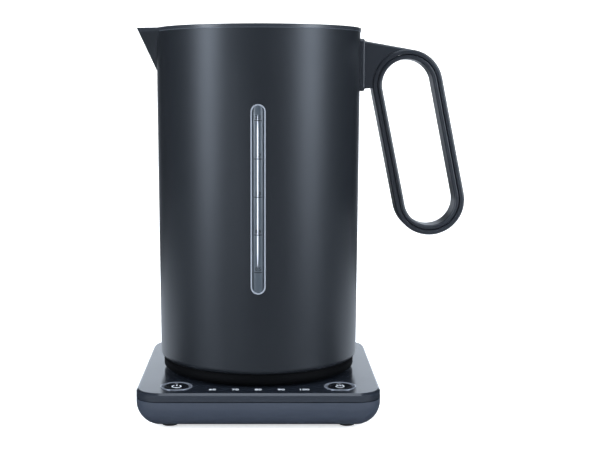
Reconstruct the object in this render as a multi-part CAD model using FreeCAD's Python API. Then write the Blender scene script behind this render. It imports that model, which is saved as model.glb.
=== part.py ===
import FreeCAD, Part
import math
import os

from FreeCAD import Vector

# A cordless electric kettle on a square power base. Millimetres, +Z up.
# Origin: centre of the base at floor level. Spout towards -X, handle towards +X,
# water gauge and the base's controls towards -Y.

# ---------------------------------------------------------------- base
BASE_SIDE = 168.0
BASE_CORNER_R = 17.0
BASE_UNDER_ROUND = 16.5
BASE_TOP = 27.5
BASE_WALL = 2.5
COVER_DEPTH = 6.2
COVER_CHAMFER = 1.5
SEAM_CHAMFER = 0.4
POST_FROM_SIDE = 29.0
POST_FROM_FRONT = 34.0
PILLAR_R = 3.5
BOSS_R = 5.0
BOSS_RISE = 3.0
PILLAR_SCREW = 13.0
FOOT_R = 5.5
FOOT_HEIGHT = 2.3
FOOT_PLUG_R = 2.5
FOOT_PLUG_DEPTH = 1.8

# ---------------------------------------------------------------- controls on the base
BUTTON_FROM_SIDE = 27.5
BUTTON_FROM_FRONT = 19.7
BEZEL_R = 11.15
BUTTON_R = 8.3
BUTTON_DISH_R = 6.3
BUTTON_DISH_DEPTH = 0.5
BUTTON_TRAVEL = 0.8
BUTTON_GAP = 0.25
BUTTON_PROUD = 0.5
BUTTON_FLOOR = 1.0
STEM_LENGTH = 0.9
STEM_R = 2.0
MARK_COUNT = 5
MARK_PITCH = 15.7
MARK_FROM_FRONT = 17.2
LENS_WIDTH = 3.0
LENS_DEPTH = 0.9
BOARD_THICKNESS = 1.6
BOARD_DEPTH = 16.0
BOARD_BEYOND = 10.0
BOARD_FRONT = 7.0
SWITCH_SIDE = 6.0
LED_HEIGHT = 1.2
SWITCH_HEIGHT = 2.0
POWER_BOARD_RISE = 4.0
POWER_BOARD_HALF = 38.0

# ---------------------------------------------------------------- 360 degree connector
POST_R = 16.0
POST_HEIGHT = 12.5
GROOVE_WIDTH = 2.4
GROOVE_RADII = (6.8, 11.8)
BLADE_THICKNESS = 0.6
BLADE_ROOT = 5.0
CENTRE_BORE_R = 2.6
CENTRE_PIN_R = 2.0
COLLAR_RING_WALL = 2.8
COLLAR_RING_HEIGHT = 5.5
RUNNING_GAP = 0.35
SOCKET_WALL = 6.0
SEAT_GAP = 0.3

# ---------------------------------------------------------------- cord inlet
GLAND_R = 5.5
GLAND_BORE_R = 3.6
GLAND_X = 40.0
GLAND_Z = 15.0
GLAND_LENGTH = 11.6
GLAND_FLANGE = 1.0

# ---------------------------------------------------------------- kettle body
BODY_GAP = 9.3
BODY_R_BOTTOM = 72.1
BODY_R_TOP = 73.5
RIM_HEIGHT = 247.4
BODY_WALL = 0.8
BODY_FILLET = 4.0
LIP_WIDTH = 7.5
RIM_BAND = 2.3
RIM_PROUD = 0.4
FLOOR_RISE = 42.0
PLATE_THICKNESS = 1.0
SPREADER_THICKNESS = 2.5
ELEMENT_R = 45.0
ELEMENT_TUBE_R = 3.5
SENSOR_R = 3.0
SENSOR_X = 18.0
SENSOR_Y = -26.0
SENSOR_RISE = 7.0
PLATE_SKIRT = 8.0
UNDER_PLATE = 2.5
KETTLE_FOOT_R = 60.8
KETTLE_FOOT_WALL = 4.0
SKIRT_WALL = 3.0
SKIRT_LIFT = 1.5
SCREW_R = 1.6
SCREW_HEAD_R = 3.0
SCREW_HEAD = 2.0
THREAD_GAP = 0.05

# ---------------------------------------------------------------- spout
SPOUT_BEYOND = 15.4
SPOUT_RISE = 0.9
SPOUT_HALF_WIDTH = 28.0
SPOUT_ROOT = 5.7
SPOUT_DROP = 30.6
SPOUT_WALL = 1.1
SPOUT_NOSE_R = 3.5

# ---------------------------------------------------------------- water gauge
WINDOW_LOW = 56.6
WINDOW_FROM_RIM = 53.1
WINDOW_WIDTH = 10.2
WINDOW_FRAME = 1.0
WINDOW_PROUD = 0.45
LENS_ROUND_R = 5.2
LENS_PROUD = 0.7
FLANGE_WIDTH = 15.0
GASKET = 0.9
FLANGE = 1.5

# ---------------------------------------------------------------- handle
HANDLE_R = 21.75
HANDLE_FRAME = 3.3
HANDLE_GRIP = 3.6
HANDLE_DEPTH = 21.5
GRIP_DEPTH = 20.5
HANDLE_SPAN = 85.0
GRIP_GAP = 0.1
HANDLE_TILT = 11.6
HANDLE_GAP = 8.35
HANDLE_DROP = 14.85
HANDLE_EDGE_R = 1.6
BRACKET_HALF_WIDTH = 10.0
BRACKET_HEIGHT = 34.0
BRACKET_DOWN = 8.9
BRACKET_EDGE_R = 2.0
SADDLE_THICKNESS = 2.6
SADDLE_ABOVE = 1.5
SADDLE_BELOW = 1.8
SADDLE_EDGE_R = 1.2
SADDLE_HALF_WIDTH = 12.0

# ---------------------------------------------------------------- rim collar and lid
COLLAR_WIDTH = 7.4
COLLAR_FLANGE = 3.3
COLLAR_SKIRT = 2.0
COLLAR_SKIRT_DEPTH = 19.0
LID_GAP = 0.6
LID_BELOW_RIM = 1.6
LID_COVER = 1.8
LID_EDGE_R = 0.8
LID_DEPTH = 11.3
LID_WALL = 1.2
LID_SEAL = 1.5
LID_SEAL_HEIGHT = 2.4
HINGE_FROM_RIM = 12.9
HINGE_DOWN = 4.9
HINGE_PIN_R = 1.5
HINGE_RUNNING = 0.05
EAR_R = 3.3
EAR_WIDTH = 4.0
EAR_CENTRE_Y = 14.0
EAR_SIDE_GAP = 0.4
PIN_HALF_LENGTH = 20.0
HINGE_CHORD = 2.7
HINGE_SWING = 0.3
LID_REAR_RELIEF = 2.2
LID_BUTTON_R = 12.0
LID_BUTTON_RISE = 2.2
LID_BUTTON_TRAVEL = 2.5
CATCH_HALF_WIDTH = 6.0
CATCH_THICKNESS = 1.6
CATCH_BITE = 2.0
WEDGE_LEFT = -3.0
WEDGE_TIP = 1.0
SPRING_R = 2.2
SPRING_WIRE = 0.35
SPRING_Y = 9.0
SPRING_TURNS = 4

# ---------------------------------------------------------------- scale filter
FILTER_HALF_WIDTH = 25.0
FILTER_FRAME = 2.0
FILTER_THICKNESS = 2.0
FILTER_HEIGHT = 14.0
FILTER_MESH = 0.4

# ---------------------------------------------------------------- derived levels
HALF = BASE_SIDE / 2
PARTING_Z = BASE_TOP - COVER_DEPTH
COVER_UNDER_Z = BASE_TOP - BASE_WALL
SHELL_FLOOR_Z = FOOT_HEIGHT + BASE_WALL
BUTTON_X = HALF - BUTTON_FROM_SIDE
BUTTON_Y = -(HALF - BUTTON_FROM_FRONT)
MARK_Y = -(HALF - MARK_FROM_FRONT)
BUTTON_UNDER_Z = COVER_UNDER_Z - BUTTON_FLOOR
STEM_END_Z = BUTTON_UNDER_Z - STEM_LENGTH
BUTTON_TOP_Z = BASE_TOP + BUTTON_PROUD
SWITCH_TOP_Z = STEM_END_Z - BUTTON_GAP
BOARD_Z = SWITCH_TOP_Z - BUTTON_TRAVEL - SWITCH_HEIGHT - BOARD_THICKNESS
BODY_Z = BASE_TOP + BODY_GAP
RIM_Z = BASE_TOP + RIM_HEIGHT
STEEL_TOP_Z = RIM_Z - RIM_BAND
FLOOR_Z = BODY_Z + FLOOR_RISE
SPREADER_Z = FLOOR_Z - PLATE_THICKNESS - SPREADER_THICKNESS
POST_TOP_Z = BASE_TOP + POST_HEIGHT
SOCKET_CAVITY_Z = POST_TOP_Z + 2.5
SOCKET_TOP_Z = SOCKET_CAVITY_Z + 7.0
SOCKET_CAVITY_R = POST_R + RUNNING_GAP + COLLAR_RING_WALL + RUNNING_GAP
SOCKET_R = SOCKET_CAVITY_R + SOCKET_WALL
POWER_BOARD_Z = SHELL_FLOOR_Z + POWER_BOARD_RISE
POWER_BOARD_NEAR = SOCKET_R + 4.0
POWER_BOARD_FAR = HALF - BASE_UNDER_ROUND - 1.0
POWER_TOP_Z = POWER_BOARD_Z + BOARD_THICKNESS
KETTLE_FOOT_Z = BASE_TOP + SEAT_GAP
UNDER_PLATE_Z = BODY_Z - UNDER_PLATE
UNDER_PLATE_R = BODY_R_BOTTOM - BODY_FILLET - 0.2
LIP_R = BODY_R_BOTTOM - LIP_WIDTH
SPOUT_REACH = BODY_R_TOP + SPOUT_BEYOND
SPOUT_SEAT = BODY_R_TOP - SPOUT_ROOT
WINDOW_LOW_Z = BODY_Z + WINDOW_LOW
WINDOW_TOP_Z = RIM_Z - WINDOW_FROM_RIM
COLLAR_INNER_R = BODY_R_TOP - COLLAR_WIDTH
LID_R = COLLAR_INNER_R - LID_GAP
LID_TOP_Z = RIM_Z - LID_BELOW_RIM
LID_COVER_Z = LID_TOP_Z - LID_COVER
LID_BOTTOM_Z = LID_TOP_Z - LID_DEPTH
LID_WALL_R = LID_R - LID_SEAL
HINGE_X = BODY_R_TOP - HINGE_FROM_RIM
HINGE_Z = RIM_Z - HINGE_DOWN
HINGE_BLOCK_X = HINGE_X - HINGE_CHORD
LID_REAR_X = HINGE_X - math.hypot(HINGE_CHORD, HINGE_DOWN) - HINGE_SWING
CATCH_Z = LID_BOTTOM_Z + LID_WALL + 3.4
HANDLE_OUTER_R = HANDLE_R + (HANDLE_FRAME + HANDLE_GRIP + GRIP_GAP) / 2
HANDLE_SPLIT_R = HANDLE_OUTER_R - HANDLE_FRAME
HANDLE_INNER_R = HANDLE_SPLIT_R - GRIP_GAP - HANDLE_GRIP
HANDLE_TOP_X = BODY_R_TOP + HANDLE_GAP + HANDLE_OUTER_R
HANDLE_TOP_Z = RIM_Z - HANDLE_DROP - HANDLE_OUTER_R
SADDLE_X = BODY_R_TOP + SADDLE_THICKNESS
BRACKET_TOP_Z = RIM_Z - BRACKET_DOWN
BRACKET_LOW_Z = BRACKET_TOP_Z - BRACKET_HEIGHT


def body_r(z):
    """Outer radius of the tapered body at height z."""
    low = BODY_Z + BODY_FILLET
    share = (z - low) / (RIM_Z - low)
    return BODY_R_BOTTOM + (BODY_R_TOP - BODY_R_BOTTOM) * share


# ---------------------------------------------------------------- small helpers
def rod(radius, low, high, x=0.0, y=0.0):
    return Part.makeCylinder(radius, high - low, Vector(x, y, low))


def tube(outer, inner, low, high):
    return rod(outer, low, high).cut(rod(inner, low - 1, high + 1))


def block(x0, x1, y0, y1, z0, z1):
    return Part.makeBox(x1 - x0, y1 - y0, z1 - z0, Vector(x0, y0, z0))


def line(a, b):
    return Part.LineSegment(Vector(*a), Vector(*b)).toShape()


def arc(a, middle, b):
    return Part.Arc(Vector(*a), Vector(*middle), Vector(*b)).toShape()


def lathe(points):
    """Turns a closed outline of (radius, z) points about Z."""
    corners = [Vector(r, 0, z) for r, z in points]
    face = Part.Face(Part.makePolygon(corners + corners[:1]))
    return face.revolve(Vector(0, 0, 0), Vector(0, 0, 1), 360)


def fuse(shapes):
    return shapes[0].multiFuse(shapes[1:]).removeSplitter()


def rod_x(radius, x0, x1, y, z):
    return Part.makeCylinder(radius, x1 - x0, Vector(x0, y, z), Vector(1, 0, 0))


def rod_y(radius, y0, y1, x, z):
    return Part.makeCylinder(radius, y1 - y0, Vector(x, y0, z), Vector(0, 1, 0))


def corners_of(x, y):
    return [(sx * x, sy * y) for sx in (-1, 1) for sy in (-1, 1)]


def around(radius, count, first=0.0):
    turns = [math.radians(first + 360.0 * i / count) for i in range(count)]
    return [(radius * math.cos(t), radius * math.sin(t)) for t in turns]


# ---------------------------------------------------------------- base housing
def rounded_slab(half, corner, low, high):
    slab = block(-half, half, -half, half, low, high)
    upright = [e for e in slab.Edges if abs(e.tangentAt(e.FirstParameter).z) > 0.9]
    return slab.makeFillet(corner, upright)


def edges_at(shape, z):
    return [e for e in shape.Edges if abs(e.BoundBox.ZMin - z) < 1e-4 and abs(e.BoundBox.ZMax - z) < 1e-4]


def screw_posts():
    return corners_of(HALF - POST_FROM_SIDE, HALF - POST_FROM_FRONT)


def base_cover():
    slab = rounded_slab(HALF, BASE_CORNER_R, PARTING_Z, BASE_TOP)
    slab = slab.makeChamfer(COVER_CHAMFER, edges_at(slab, BASE_TOP))
    slab = slab.makeChamfer(SEAM_CHAMFER, edges_at(slab, PARTING_Z))
    inside = HALF - BASE_WALL
    corner = BASE_CORNER_R - BASE_WALL
    slab = slab.cut(rounded_slab(inside, corner, PARTING_Z - 1, COVER_UNDER_Z))
    posts = [rod(PILLAR_R, SHELL_FLOOR_Z + BOSS_RISE, COVER_UNDER_Z + 0.5, x, y) for x, y in screw_posts()]
    board_top = BOARD_Z + BOARD_THICKNESS
    stands = [
        rod(2.0, board_top, COVER_UNDER_Z + 0.5, x, MARK_Y)
        for x in (-1.5 * MARK_PITCH, 1.5 * MARK_PITCH)
    ]
    cover = fuse([slab] + posts + stands)
    holes = [rod(POST_R + THREAD_GAP, COVER_UNDER_Z - 1, BASE_TOP + 1)]
    holes += [
        rod(BEZEL_R + THREAD_GAP, BUTTON_UNDER_Z - 1, BASE_TOP + 1, x, BUTTON_Y)
        for x in (-BUTTON_X, BUTTON_X)
    ]
    holes += [lens_block(x, THREAD_GAP, COVER_UNDER_Z - 1, BASE_TOP + 1) for x in mark_positions()]
    holes += [
        rod(SCREW_R + THREAD_GAP, SHELL_FLOOR_Z, SHELL_FLOOR_Z + PILLAR_SCREW + 1, x, y)
        for x, y in screw_posts()
    ]
    return cover.cut(holes)


def base_shell():
    slab = rounded_slab(HALF, BASE_CORNER_R, FOOT_HEIGHT, PARTING_Z)
    slab = slab.makeFillet(BASE_UNDER_ROUND, edges_at(slab, FOOT_HEIGHT))
    slab = slab.makeChamfer(SEAM_CHAMFER, edges_at(slab, PARTING_Z))
    inside = rounded_slab(HALF - BASE_WALL, BASE_CORNER_R - BASE_WALL, SHELL_FLOOR_Z, PARTING_Z + 1)
    inside = inside.makeFillet(BASE_UNDER_ROUND - BASE_WALL, edges_at(inside, SHELL_FLOOR_Z))
    shell = slab.cut(inside)
    bosses = [rod(BOSS_R, FOOT_HEIGHT, SHELL_FLOOR_Z + BOSS_RISE, x, y) for x, y in screw_posts()]
    stands = [rod(3.0, SHELL_FLOOR_Z - 0.5, POWER_BOARD_Z, x, y) for x, y in power_board_corners()]
    shell = fuse([shell] + bosses + stands)
    holes = [rod(SCREW_HEAD_R + THREAD_GAP, 0, SHELL_FLOOR_Z, x, y) for x, y in screw_posts()]
    holes += [rod(SCREW_R + THREAD_GAP, 0, SHELL_FLOOR_Z + BOSS_RISE + 1, x, y) for x, y in screw_posts()]
    holes += [
        rod(FOOT_PLUG_R + THREAD_GAP, 0, FOOT_HEIGHT + FOOT_PLUG_DEPTH, x, y)
        for x, y in foot_positions()
    ]
    holes.append(rod_y(GLAND_R, HALF - GLAND_LENGTH, HALF + 2.0, GLAND_X, GLAND_Z))
    return shell.cut(holes)


def foot_positions():
    offset = HALF - BASE_UNDER_ROUND - FOOT_R - 0.5
    return corners_of(offset, offset)


def foot(x, y):
    pad = rod(FOOT_R, 0, FOOT_HEIGHT, x, y)
    pad = pad.makeFillet(0.5, edges_at(pad, 0))
    return pad.fuse(rod(FOOT_PLUG_R, FOOT_HEIGHT, FOOT_HEIGHT + FOOT_PLUG_DEPTH, x, y)).removeSplitter()


def base_screws():
    screws = []
    for x, y in screw_posts():
        head = rod(SCREW_HEAD_R, SHELL_FLOOR_Z - SCREW_HEAD, SHELL_FLOOR_Z, x, y)
        screws.append(head.fuse(rod(SCREW_R, SHELL_FLOOR_Z, SHELL_FLOOR_Z + PILLAR_SCREW, x, y)))
    return Part.makeCompound(screws)


def cord_gland():
    outer_end = HALF - 0.4
    inner_end = outer_end - GLAND_LENGTH
    bush = rod_y(GLAND_R, inner_end, outer_end, GLAND_X, GLAND_Z)
    flange = rod_y(GLAND_R + GLAND_FLANGE, inner_end, inner_end + 3.0, GLAND_X, GLAND_Z)
    bore = rod_y(GLAND_BORE_R, inner_end - 1, outer_end + 1, GLAND_X, GLAND_Z)
    return bush.fuse(flange).cut(bore).removeSplitter()


# ---------------------------------------------------------------- controls and electronics
def mark_positions():
    return [(i - (MARK_COUNT - 1) / 2) * MARK_PITCH for i in range(MARK_COUNT)]


def lens_block(x, gap, low, high):
    wide = LENS_WIDTH / 2 + gap
    deep = LENS_DEPTH / 2 + gap
    return block(x - wide, x + wide, MARK_Y - deep, MARK_Y + deep, low, high)


def led_lens(x):
    return lens_block(x, 0.0, BOARD_Z + BOARD_THICKNESS + LED_HEIGHT, BASE_TOP)


def bezel(x):
    """A dished ring round a button, seated in the cover."""
    ring = lathe(
        [
            (BUTTON_R + BUTTON_GAP, BUTTON_UNDER_Z),
            (BEZEL_R, BUTTON_UNDER_Z),
            (BEZEL_R, BASE_TOP + 0.3),
            (BEZEL_R - 0.6, BUTTON_TOP_Z),
            (BUTTON_R + BUTTON_GAP, BASE_TOP - 0.3),
        ]
    )
    ring.translate(Vector(x, BUTTON_Y, 0))
    return ring


def base_button(x):
    """A dished cap with a rim, a retaining flange below the bezel and a stem to its switch."""
    cap = lathe(
        [
            (0, STEM_END_Z),
            (STEM_R, STEM_END_Z),
            (STEM_R, BUTTON_UNDER_Z + 0.4),
            (BUTTON_R, BUTTON_UNDER_Z + 0.4),
            (BUTTON_R, BASE_TOP + 0.2),
            (BUTTON_R - 0.3, BUTTON_TOP_Z),
            (BUTTON_DISH_R + 0.6, BUTTON_TOP_Z),
            (BUTTON_DISH_R, BUTTON_TOP_Z - BUTTON_DISH_DEPTH),
            (0, BUTTON_TOP_Z - BUTTON_DISH_DEPTH),
        ]
    )
    cap.translate(Vector(x, BUTTON_Y, 0))
    return cap


def control_board():
    half_length = BUTTON_X + BOARD_BEYOND
    low_y = BUTTON_Y - BOARD_FRONT
    return block(-half_length, half_length, low_y, low_y + BOARD_DEPTH, BOARD_Z, BOARD_Z + BOARD_THICKNESS)


def tact_switches():
    low = BOARD_Z + BOARD_THICKNESS
    high = SWITCH_TOP_Z - BUTTON_TRAVEL - 0.1
    half = SWITCH_SIDE / 2
    cans = [
        block(x - half, x + half, BUTTON_Y - half, BUTTON_Y + half, low, high)
        for x in (-BUTTON_X, BUTTON_X)
    ]
    return Part.makeCompound(cans)


def indicator_leds():
    low = BOARD_Z + BOARD_THICKNESS
    high = low + LED_HEIGHT
    return Part.makeCompound([
        block(x - 1, x + 1, MARK_Y - 0.6, MARK_Y + 0.6, low, high)
        for x in mark_positions()
    ])


def power_board_corners():
    inset = 5.0
    rows = (POWER_BOARD_NEAR + inset, POWER_BOARD_FAR - inset)
    return [(sx * (POWER_BOARD_HALF - inset), y) for sx in (-1, 1) for y in rows]


def power_board():
    half = POWER_BOARD_HALF
    return block(-half, half, POWER_BOARD_NEAR, POWER_BOARD_FAR, POWER_BOARD_Z, POWER_TOP_Z)


def relay():
    y = POWER_BOARD_NEAR + 6.0
    return block(-32.0, -13.0, y, y + 15.5, POWER_TOP_Z, POWER_TOP_Z + 12.0)


def capacitor():
    y = POWER_BOARD_NEAR + 6.0
    return block(-6.0, 12.0, y, y + 8.0, POWER_TOP_Z, POWER_TOP_Z + 11.0)


def buzzer():
    can = rod(6.0, POWER_TOP_Z, POWER_TOP_Z + 7.0, 24.0, POWER_BOARD_NEAR + 14.0)
    return can.cut(rod(1.0, POWER_TOP_Z + 5.0, POWER_TOP_Z + 8.0, 24.0, POWER_BOARD_NEAR + 14.0))


# ---------------------------------------------------------------- 360 degree connector
def groove(centre, low, high):
    return tube(centre + GROOVE_WIDTH / 2, centre - GROOVE_WIDTH / 2, low, high)


def connector_housing():
    post = rod(POST_R, COVER_UNDER_Z - 10.0, POST_TOP_Z)
    post = post.makeFillet(0.8, edges_at(post, POST_TOP_Z))
    flange = rod(POST_R + 8.0, COVER_UNDER_Z - 3.5, COVER_UNDER_Z)
    housing = post.fuse(flange).removeSplitter()
    cuts = [groove(r, BASE_TOP, POST_TOP_Z + 1) for r in GROOVE_RADII]
    cuts.append(rod(CENTRE_BORE_R, COVER_UNDER_Z - 4.0, POST_TOP_Z + 1))
    return housing.cut(cuts)


def ring_contact(centre):
    """A contact sleeve lining the outer wall of its groove."""
    outer = centre + GROOVE_WIDTH / 2
    return tube(outer, outer - 0.45, BASE_TOP, POST_TOP_Z - 2.0)


def centre_contact():
    foot_z = COVER_UNDER_Z - 4.0
    return rod(CENTRE_BORE_R, foot_z, foot_z + 2.5)


def connector_collar():
    inner = POST_R + RUNNING_GAP
    outer = inner + COLLAR_RING_WALL
    low = BASE_TOP + SEAT_GAP
    ring = tube(outer, inner, low, low + COLLAR_RING_HEIGHT)
    return ring.makeFillet(0.6, edges_at(ring, low + COLLAR_RING_HEIGHT))


def blade(radius, low, high):
    return tube(radius + BLADE_THICKNESS / 2, radius - BLADE_THICKNESS / 2, low, high)


def connector_socket():
    body = rod(SOCKET_R, BASE_TOP + 1.5, SOCKET_TOP_Z)
    flange = rod(SOCKET_R + 4.0, BODY_Z, BODY_Z + 2.0)
    body = body.fuse(flange).removeSplitter()
    cuts = [rod(SOCKET_CAVITY_R, BASE_TOP, SOCKET_CAVITY_Z)]
    cuts += [blade(r, SOCKET_CAVITY_Z - 1, SOCKET_CAVITY_Z + BLADE_ROOT) for r in GROOVE_RADII]
    cuts.append(rod(CENTRE_PIN_R, SOCKET_CAVITY_Z - 1, SOCKET_CAVITY_Z + BLADE_ROOT))
    return body.cut(cuts)


def socket_contacts():
    """Two ring blades and a centre pin that reach down into the base's grooves."""
    low = BASE_TOP + 3.0
    high = SOCKET_CAVITY_Z + BLADE_ROOT
    blades = [blade(r, low, high) for r in GROOVE_RADII]
    return Part.makeCompound(blades + [rod(CENTRE_PIN_R, COVER_UNDER_Z - 0.5, high)])


# ---------------------------------------------------------------- kettle body
def body_outside(high):
    """The solid inside the body's outer skin, used to trim what sits on it."""
    return lathe([(0, BODY_Z - 20), (body_r(BODY_Z - 20), BODY_Z - 20), (body_r(high), high), (0, high)])


def skin(depth_out, depth_in):
    """A layer that follows the body's wall, between two distances from its outer skin."""
    low = BODY_Z + BODY_FILLET
    high = STEEL_TOP_Z
    outer = lambda z: body_r(z) + depth_out
    inner = lambda z: body_r(z) - depth_in
    return lathe([(inner(low), low), (outer(low), low), (outer(high), high), (inner(high), high)])


def body_shell():
    lean = BODY_FILLET * math.sqrt(0.5)
    turn_r = BODY_R_BOTTOM - BODY_FILLET
    turn_z = BODY_Z + BODY_FILLET
    inner_turn = (BODY_FILLET - BODY_WALL) * math.sqrt(0.5)
    top_r = body_r(STEEL_TOP_Z)
    outline = [
        line((LIP_R, 0, BODY_Z), (turn_r, 0, BODY_Z)),
        arc((turn_r, 0, BODY_Z), (turn_r + lean, 0, turn_z - lean), (BODY_R_BOTTOM, 0, turn_z)),
        line((BODY_R_BOTTOM, 0, turn_z), (top_r, 0, STEEL_TOP_Z)),
        line((top_r, 0, STEEL_TOP_Z), (top_r - BODY_WALL, 0, STEEL_TOP_Z)),
        line((top_r - BODY_WALL, 0, STEEL_TOP_Z), (BODY_R_BOTTOM - BODY_WALL, 0, turn_z)),
        arc(
            (BODY_R_BOTTOM - BODY_WALL, 0, turn_z),
            (turn_r + inner_turn, 0, turn_z - inner_turn),
            (turn_r, 0, BODY_Z + BODY_WALL),
        ),
        line((turn_r, 0, BODY_Z + BODY_WALL), (LIP_R, 0, BODY_Z + BODY_WALL)),
        line((LIP_R, 0, BODY_Z + BODY_WALL), (LIP_R, 0, BODY_Z)),
    ]
    shell = Part.Face(Part.Wire(outline)).revolve(Vector(0, 0, 0), Vector(0, 0, 1), 360)
    cuts = [window_prism(WINDOW_WIDTH - 2 * WINDOW_FRAME), spout_cone(SPOUT_WALL)]
    cuts += [rod_x(SCREW_R + THREAD_GAP, BODY_R_TOP - 8, BODY_R_TOP + 4, 0, z) for z in handle_screw_levels()]
    return shell.cut(cuts)


def under_cover():
    """The plastic underside: a plate with a skirt and a foot ring, and a spigot inside the body's lip."""
    plate = tube(UNDER_PLATE_R, SOCKET_R + THREAD_GAP, UNDER_PLATE_Z, BODY_Z)
    skirt = tube(UNDER_PLATE_R, UNDER_PLATE_R - SKIRT_WALL, KETTLE_FOOT_Z + SKIRT_LIFT, UNDER_PLATE_Z)
    foot_ring = tube(KETTLE_FOOT_R, KETTLE_FOOT_R - KETTLE_FOOT_WALL, KETTLE_FOOT_Z, UNDER_PLATE_Z)
    spigot = tube(LIP_R - THREAD_GAP, LIP_R - 2.5, BODY_Z, BODY_Z + 3.5)
    cover = fuse([plate, skirt, foot_ring, spigot])
    return cover.cut([rod(SCREW_R + THREAD_GAP, 0, BODY_Z + 1, x, y) for x, y in under_screw_positions()])


def under_screw_positions():
    return around(ELEMENT_R + ELEMENT_TUBE_R + 5.0, 3, 30.0)


def under_screws():
    screws = []
    for x, y in under_screw_positions():
        head = rod(SCREW_HEAD_R - 0.4, UNDER_PLATE_Z - SCREW_HEAD, UNDER_PLATE_Z, x, y)
        screws.append(head.fuse(rod(SCREW_R, UNDER_PLATE_Z, BODY_Z + 14.0, x, y)))
    return Part.makeCompound(screws)


def heater_plate():
    rim = body_r(FLOOR_Z) - BODY_WALL - THREAD_GAP
    low_rim = body_r(FLOOR_Z - PLATE_SKIRT) - BODY_WALL - THREAD_GAP
    plate = lathe(
        [
            (0, FLOOR_Z - PLATE_THICKNESS),
            (low_rim - 1.0, FLOOR_Z - PLATE_THICKNESS),
            (low_rim - 1.0, FLOOR_Z - PLATE_SKIRT),
            (low_rim, FLOOR_Z - PLATE_SKIRT),
            (rim, FLOOR_Z),
            (0, FLOOR_Z),
        ]
    )
    return plate.cut(rod(SENSOR_R + THREAD_GAP, FLOOR_Z - 5, FLOOR_Z + 1, SENSOR_X, SENSOR_Y))


def temperature_sensor():
    probe = rod(SENSOR_R, SPREADER_Z - 6.0, FLOOR_Z + SENSOR_RISE, SENSOR_X, SENSOR_Y)
    probe = probe.makeFillet(1.2, edges_at(probe, FLOOR_Z + SENSOR_RISE))
    return probe.fuse(rod(SENSOR_R + 2.0, SPREADER_Z - 6.0, SPREADER_Z, SENSOR_X, SENSOR_Y)).removeSplitter()


def heat_spreader():
    disc = rod(ELEMENT_R + 16.0, SPREADER_Z, FLOOR_Z - PLATE_THICKNESS)
    posts = [rod(3.5, BODY_Z, SPREADER_Z + 0.5, x, y) for x, y in under_screw_positions()]
    spreader = fuse([disc] + posts)
    cuts = [rod(SENSOR_R + THREAD_GAP, SPREADER_Z - 1, FLOOR_Z, SENSOR_X, SENSOR_Y)]
    cuts += [rod(SCREW_R + THREAD_GAP, BODY_Z - 1, BODY_Z + 15.0, x, y) for x, y in under_screw_positions()]
    return spreader.cut(cuts)


def heating_element():
    """A sheathed element bent to most of a circle, with a cold pin turned down at each end."""
    gap = 24.0
    z = SPREADER_Z - ELEMENT_TUBE_R
    circle = Part.Circle(Vector(ELEMENT_R, 0, z), Vector(0, 1, 0), ELEMENT_TUBE_R).toShape()
    loop = Part.Face(Part.Wire(circle)).revolve(Vector(0, 0, 0), Vector(0, 0, 1), 360 - gap)
    loop.rotate(Vector(0, 0, 0), Vector(0, 0, 1), gap / 2)
    turn = math.radians(gap / 2)
    ends = [(ELEMENT_R * math.cos(turn), s * ELEMENT_R * math.sin(turn)) for s in (-1, 1)]
    knees = [Part.makeSphere(ELEMENT_TUBE_R, Vector(x, y, z)) for x, y in ends]
    pins = [rod(ELEMENT_TUBE_R * 0.6, z - 14.0, z, x, y) for x, y in ends]
    return fuse([loop] + knees + pins)


def thermal_control():
    """The control block: a disc on the socket with a snout up to the spreader."""
    disc = rod(SOCKET_R - 2.0, SOCKET_TOP_Z, SOCKET_TOP_Z + 12.0)
    snout = rod(12.0, SOCKET_TOP_Z + 12.0, SPREADER_Z)
    return disc.fuse(snout).removeSplitter()


# ---------------------------------------------------------------- spout
def spout_section(inset, share, apex_z):
    """The beak's plan outline at a share of its height, drawn towards its lowest point."""
    apex = Vector(-body_r(RIM_Z - SPOUT_DROP) + inset, 0, apex_z)
    half_angle = math.atan2(SPOUT_HALF_WIDTH, SPOUT_REACH - SPOUT_SEAT)
    nose = max(SPOUT_NOSE_R - inset, 0.5)
    tip = -SPOUT_REACH + inset / math.sin(half_angle)
    centre = tip + nose / math.sin(half_angle)
    touch_x = centre - nose * math.sin(half_angle)
    touch_y = nose * math.cos(half_angle)
    back_x = -SPOUT_SEAT + 3.0
    back_y = (back_x - tip) * math.tan(half_angle)
    near_side = [(back_x, back_y), (touch_x, touch_y)]
    plan = near_side + [(centre - nose, 0.0), (touch_x, -touch_y), (back_x, -back_y)]
    slope = SPOUT_RISE / SPOUT_BEYOND
    top = [Vector(x, y, RIM_Z - slope * (x + BODY_R_TOP)) for x, y in plan]
    a, b, c, d, e = [apex + (p - apex) * share for p in top]
    edges = [
        Part.LineSegment(a, b).toShape(),
        Part.Arc(b, c, d).toShape(),
        Part.LineSegment(d, e).toShape(),
        Part.LineSegment(e, a).toShape(),
    ]
    return Part.Wire(edges)


def spout_cone(inset):
    """The beak as a solid, or with an inset the hollow inside it."""
    apex_z = RIM_Z - SPOUT_DROP + 2.2 * inset
    above = 1.12 if inset else 1.0
    sections = [spout_section(inset, share, apex_z) for share in (0.02, above)]
    return Part.makeLoft(sections, True, True)


def spout_wall():
    return spout_cone(0.0).cut([spout_cone(SPOUT_WALL), body_outside(RIM_Z + 5)])


def spout():
    return spout_wall().common(block(-200, 0, -100, 100, 0, STEEL_TOP_Z))


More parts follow.
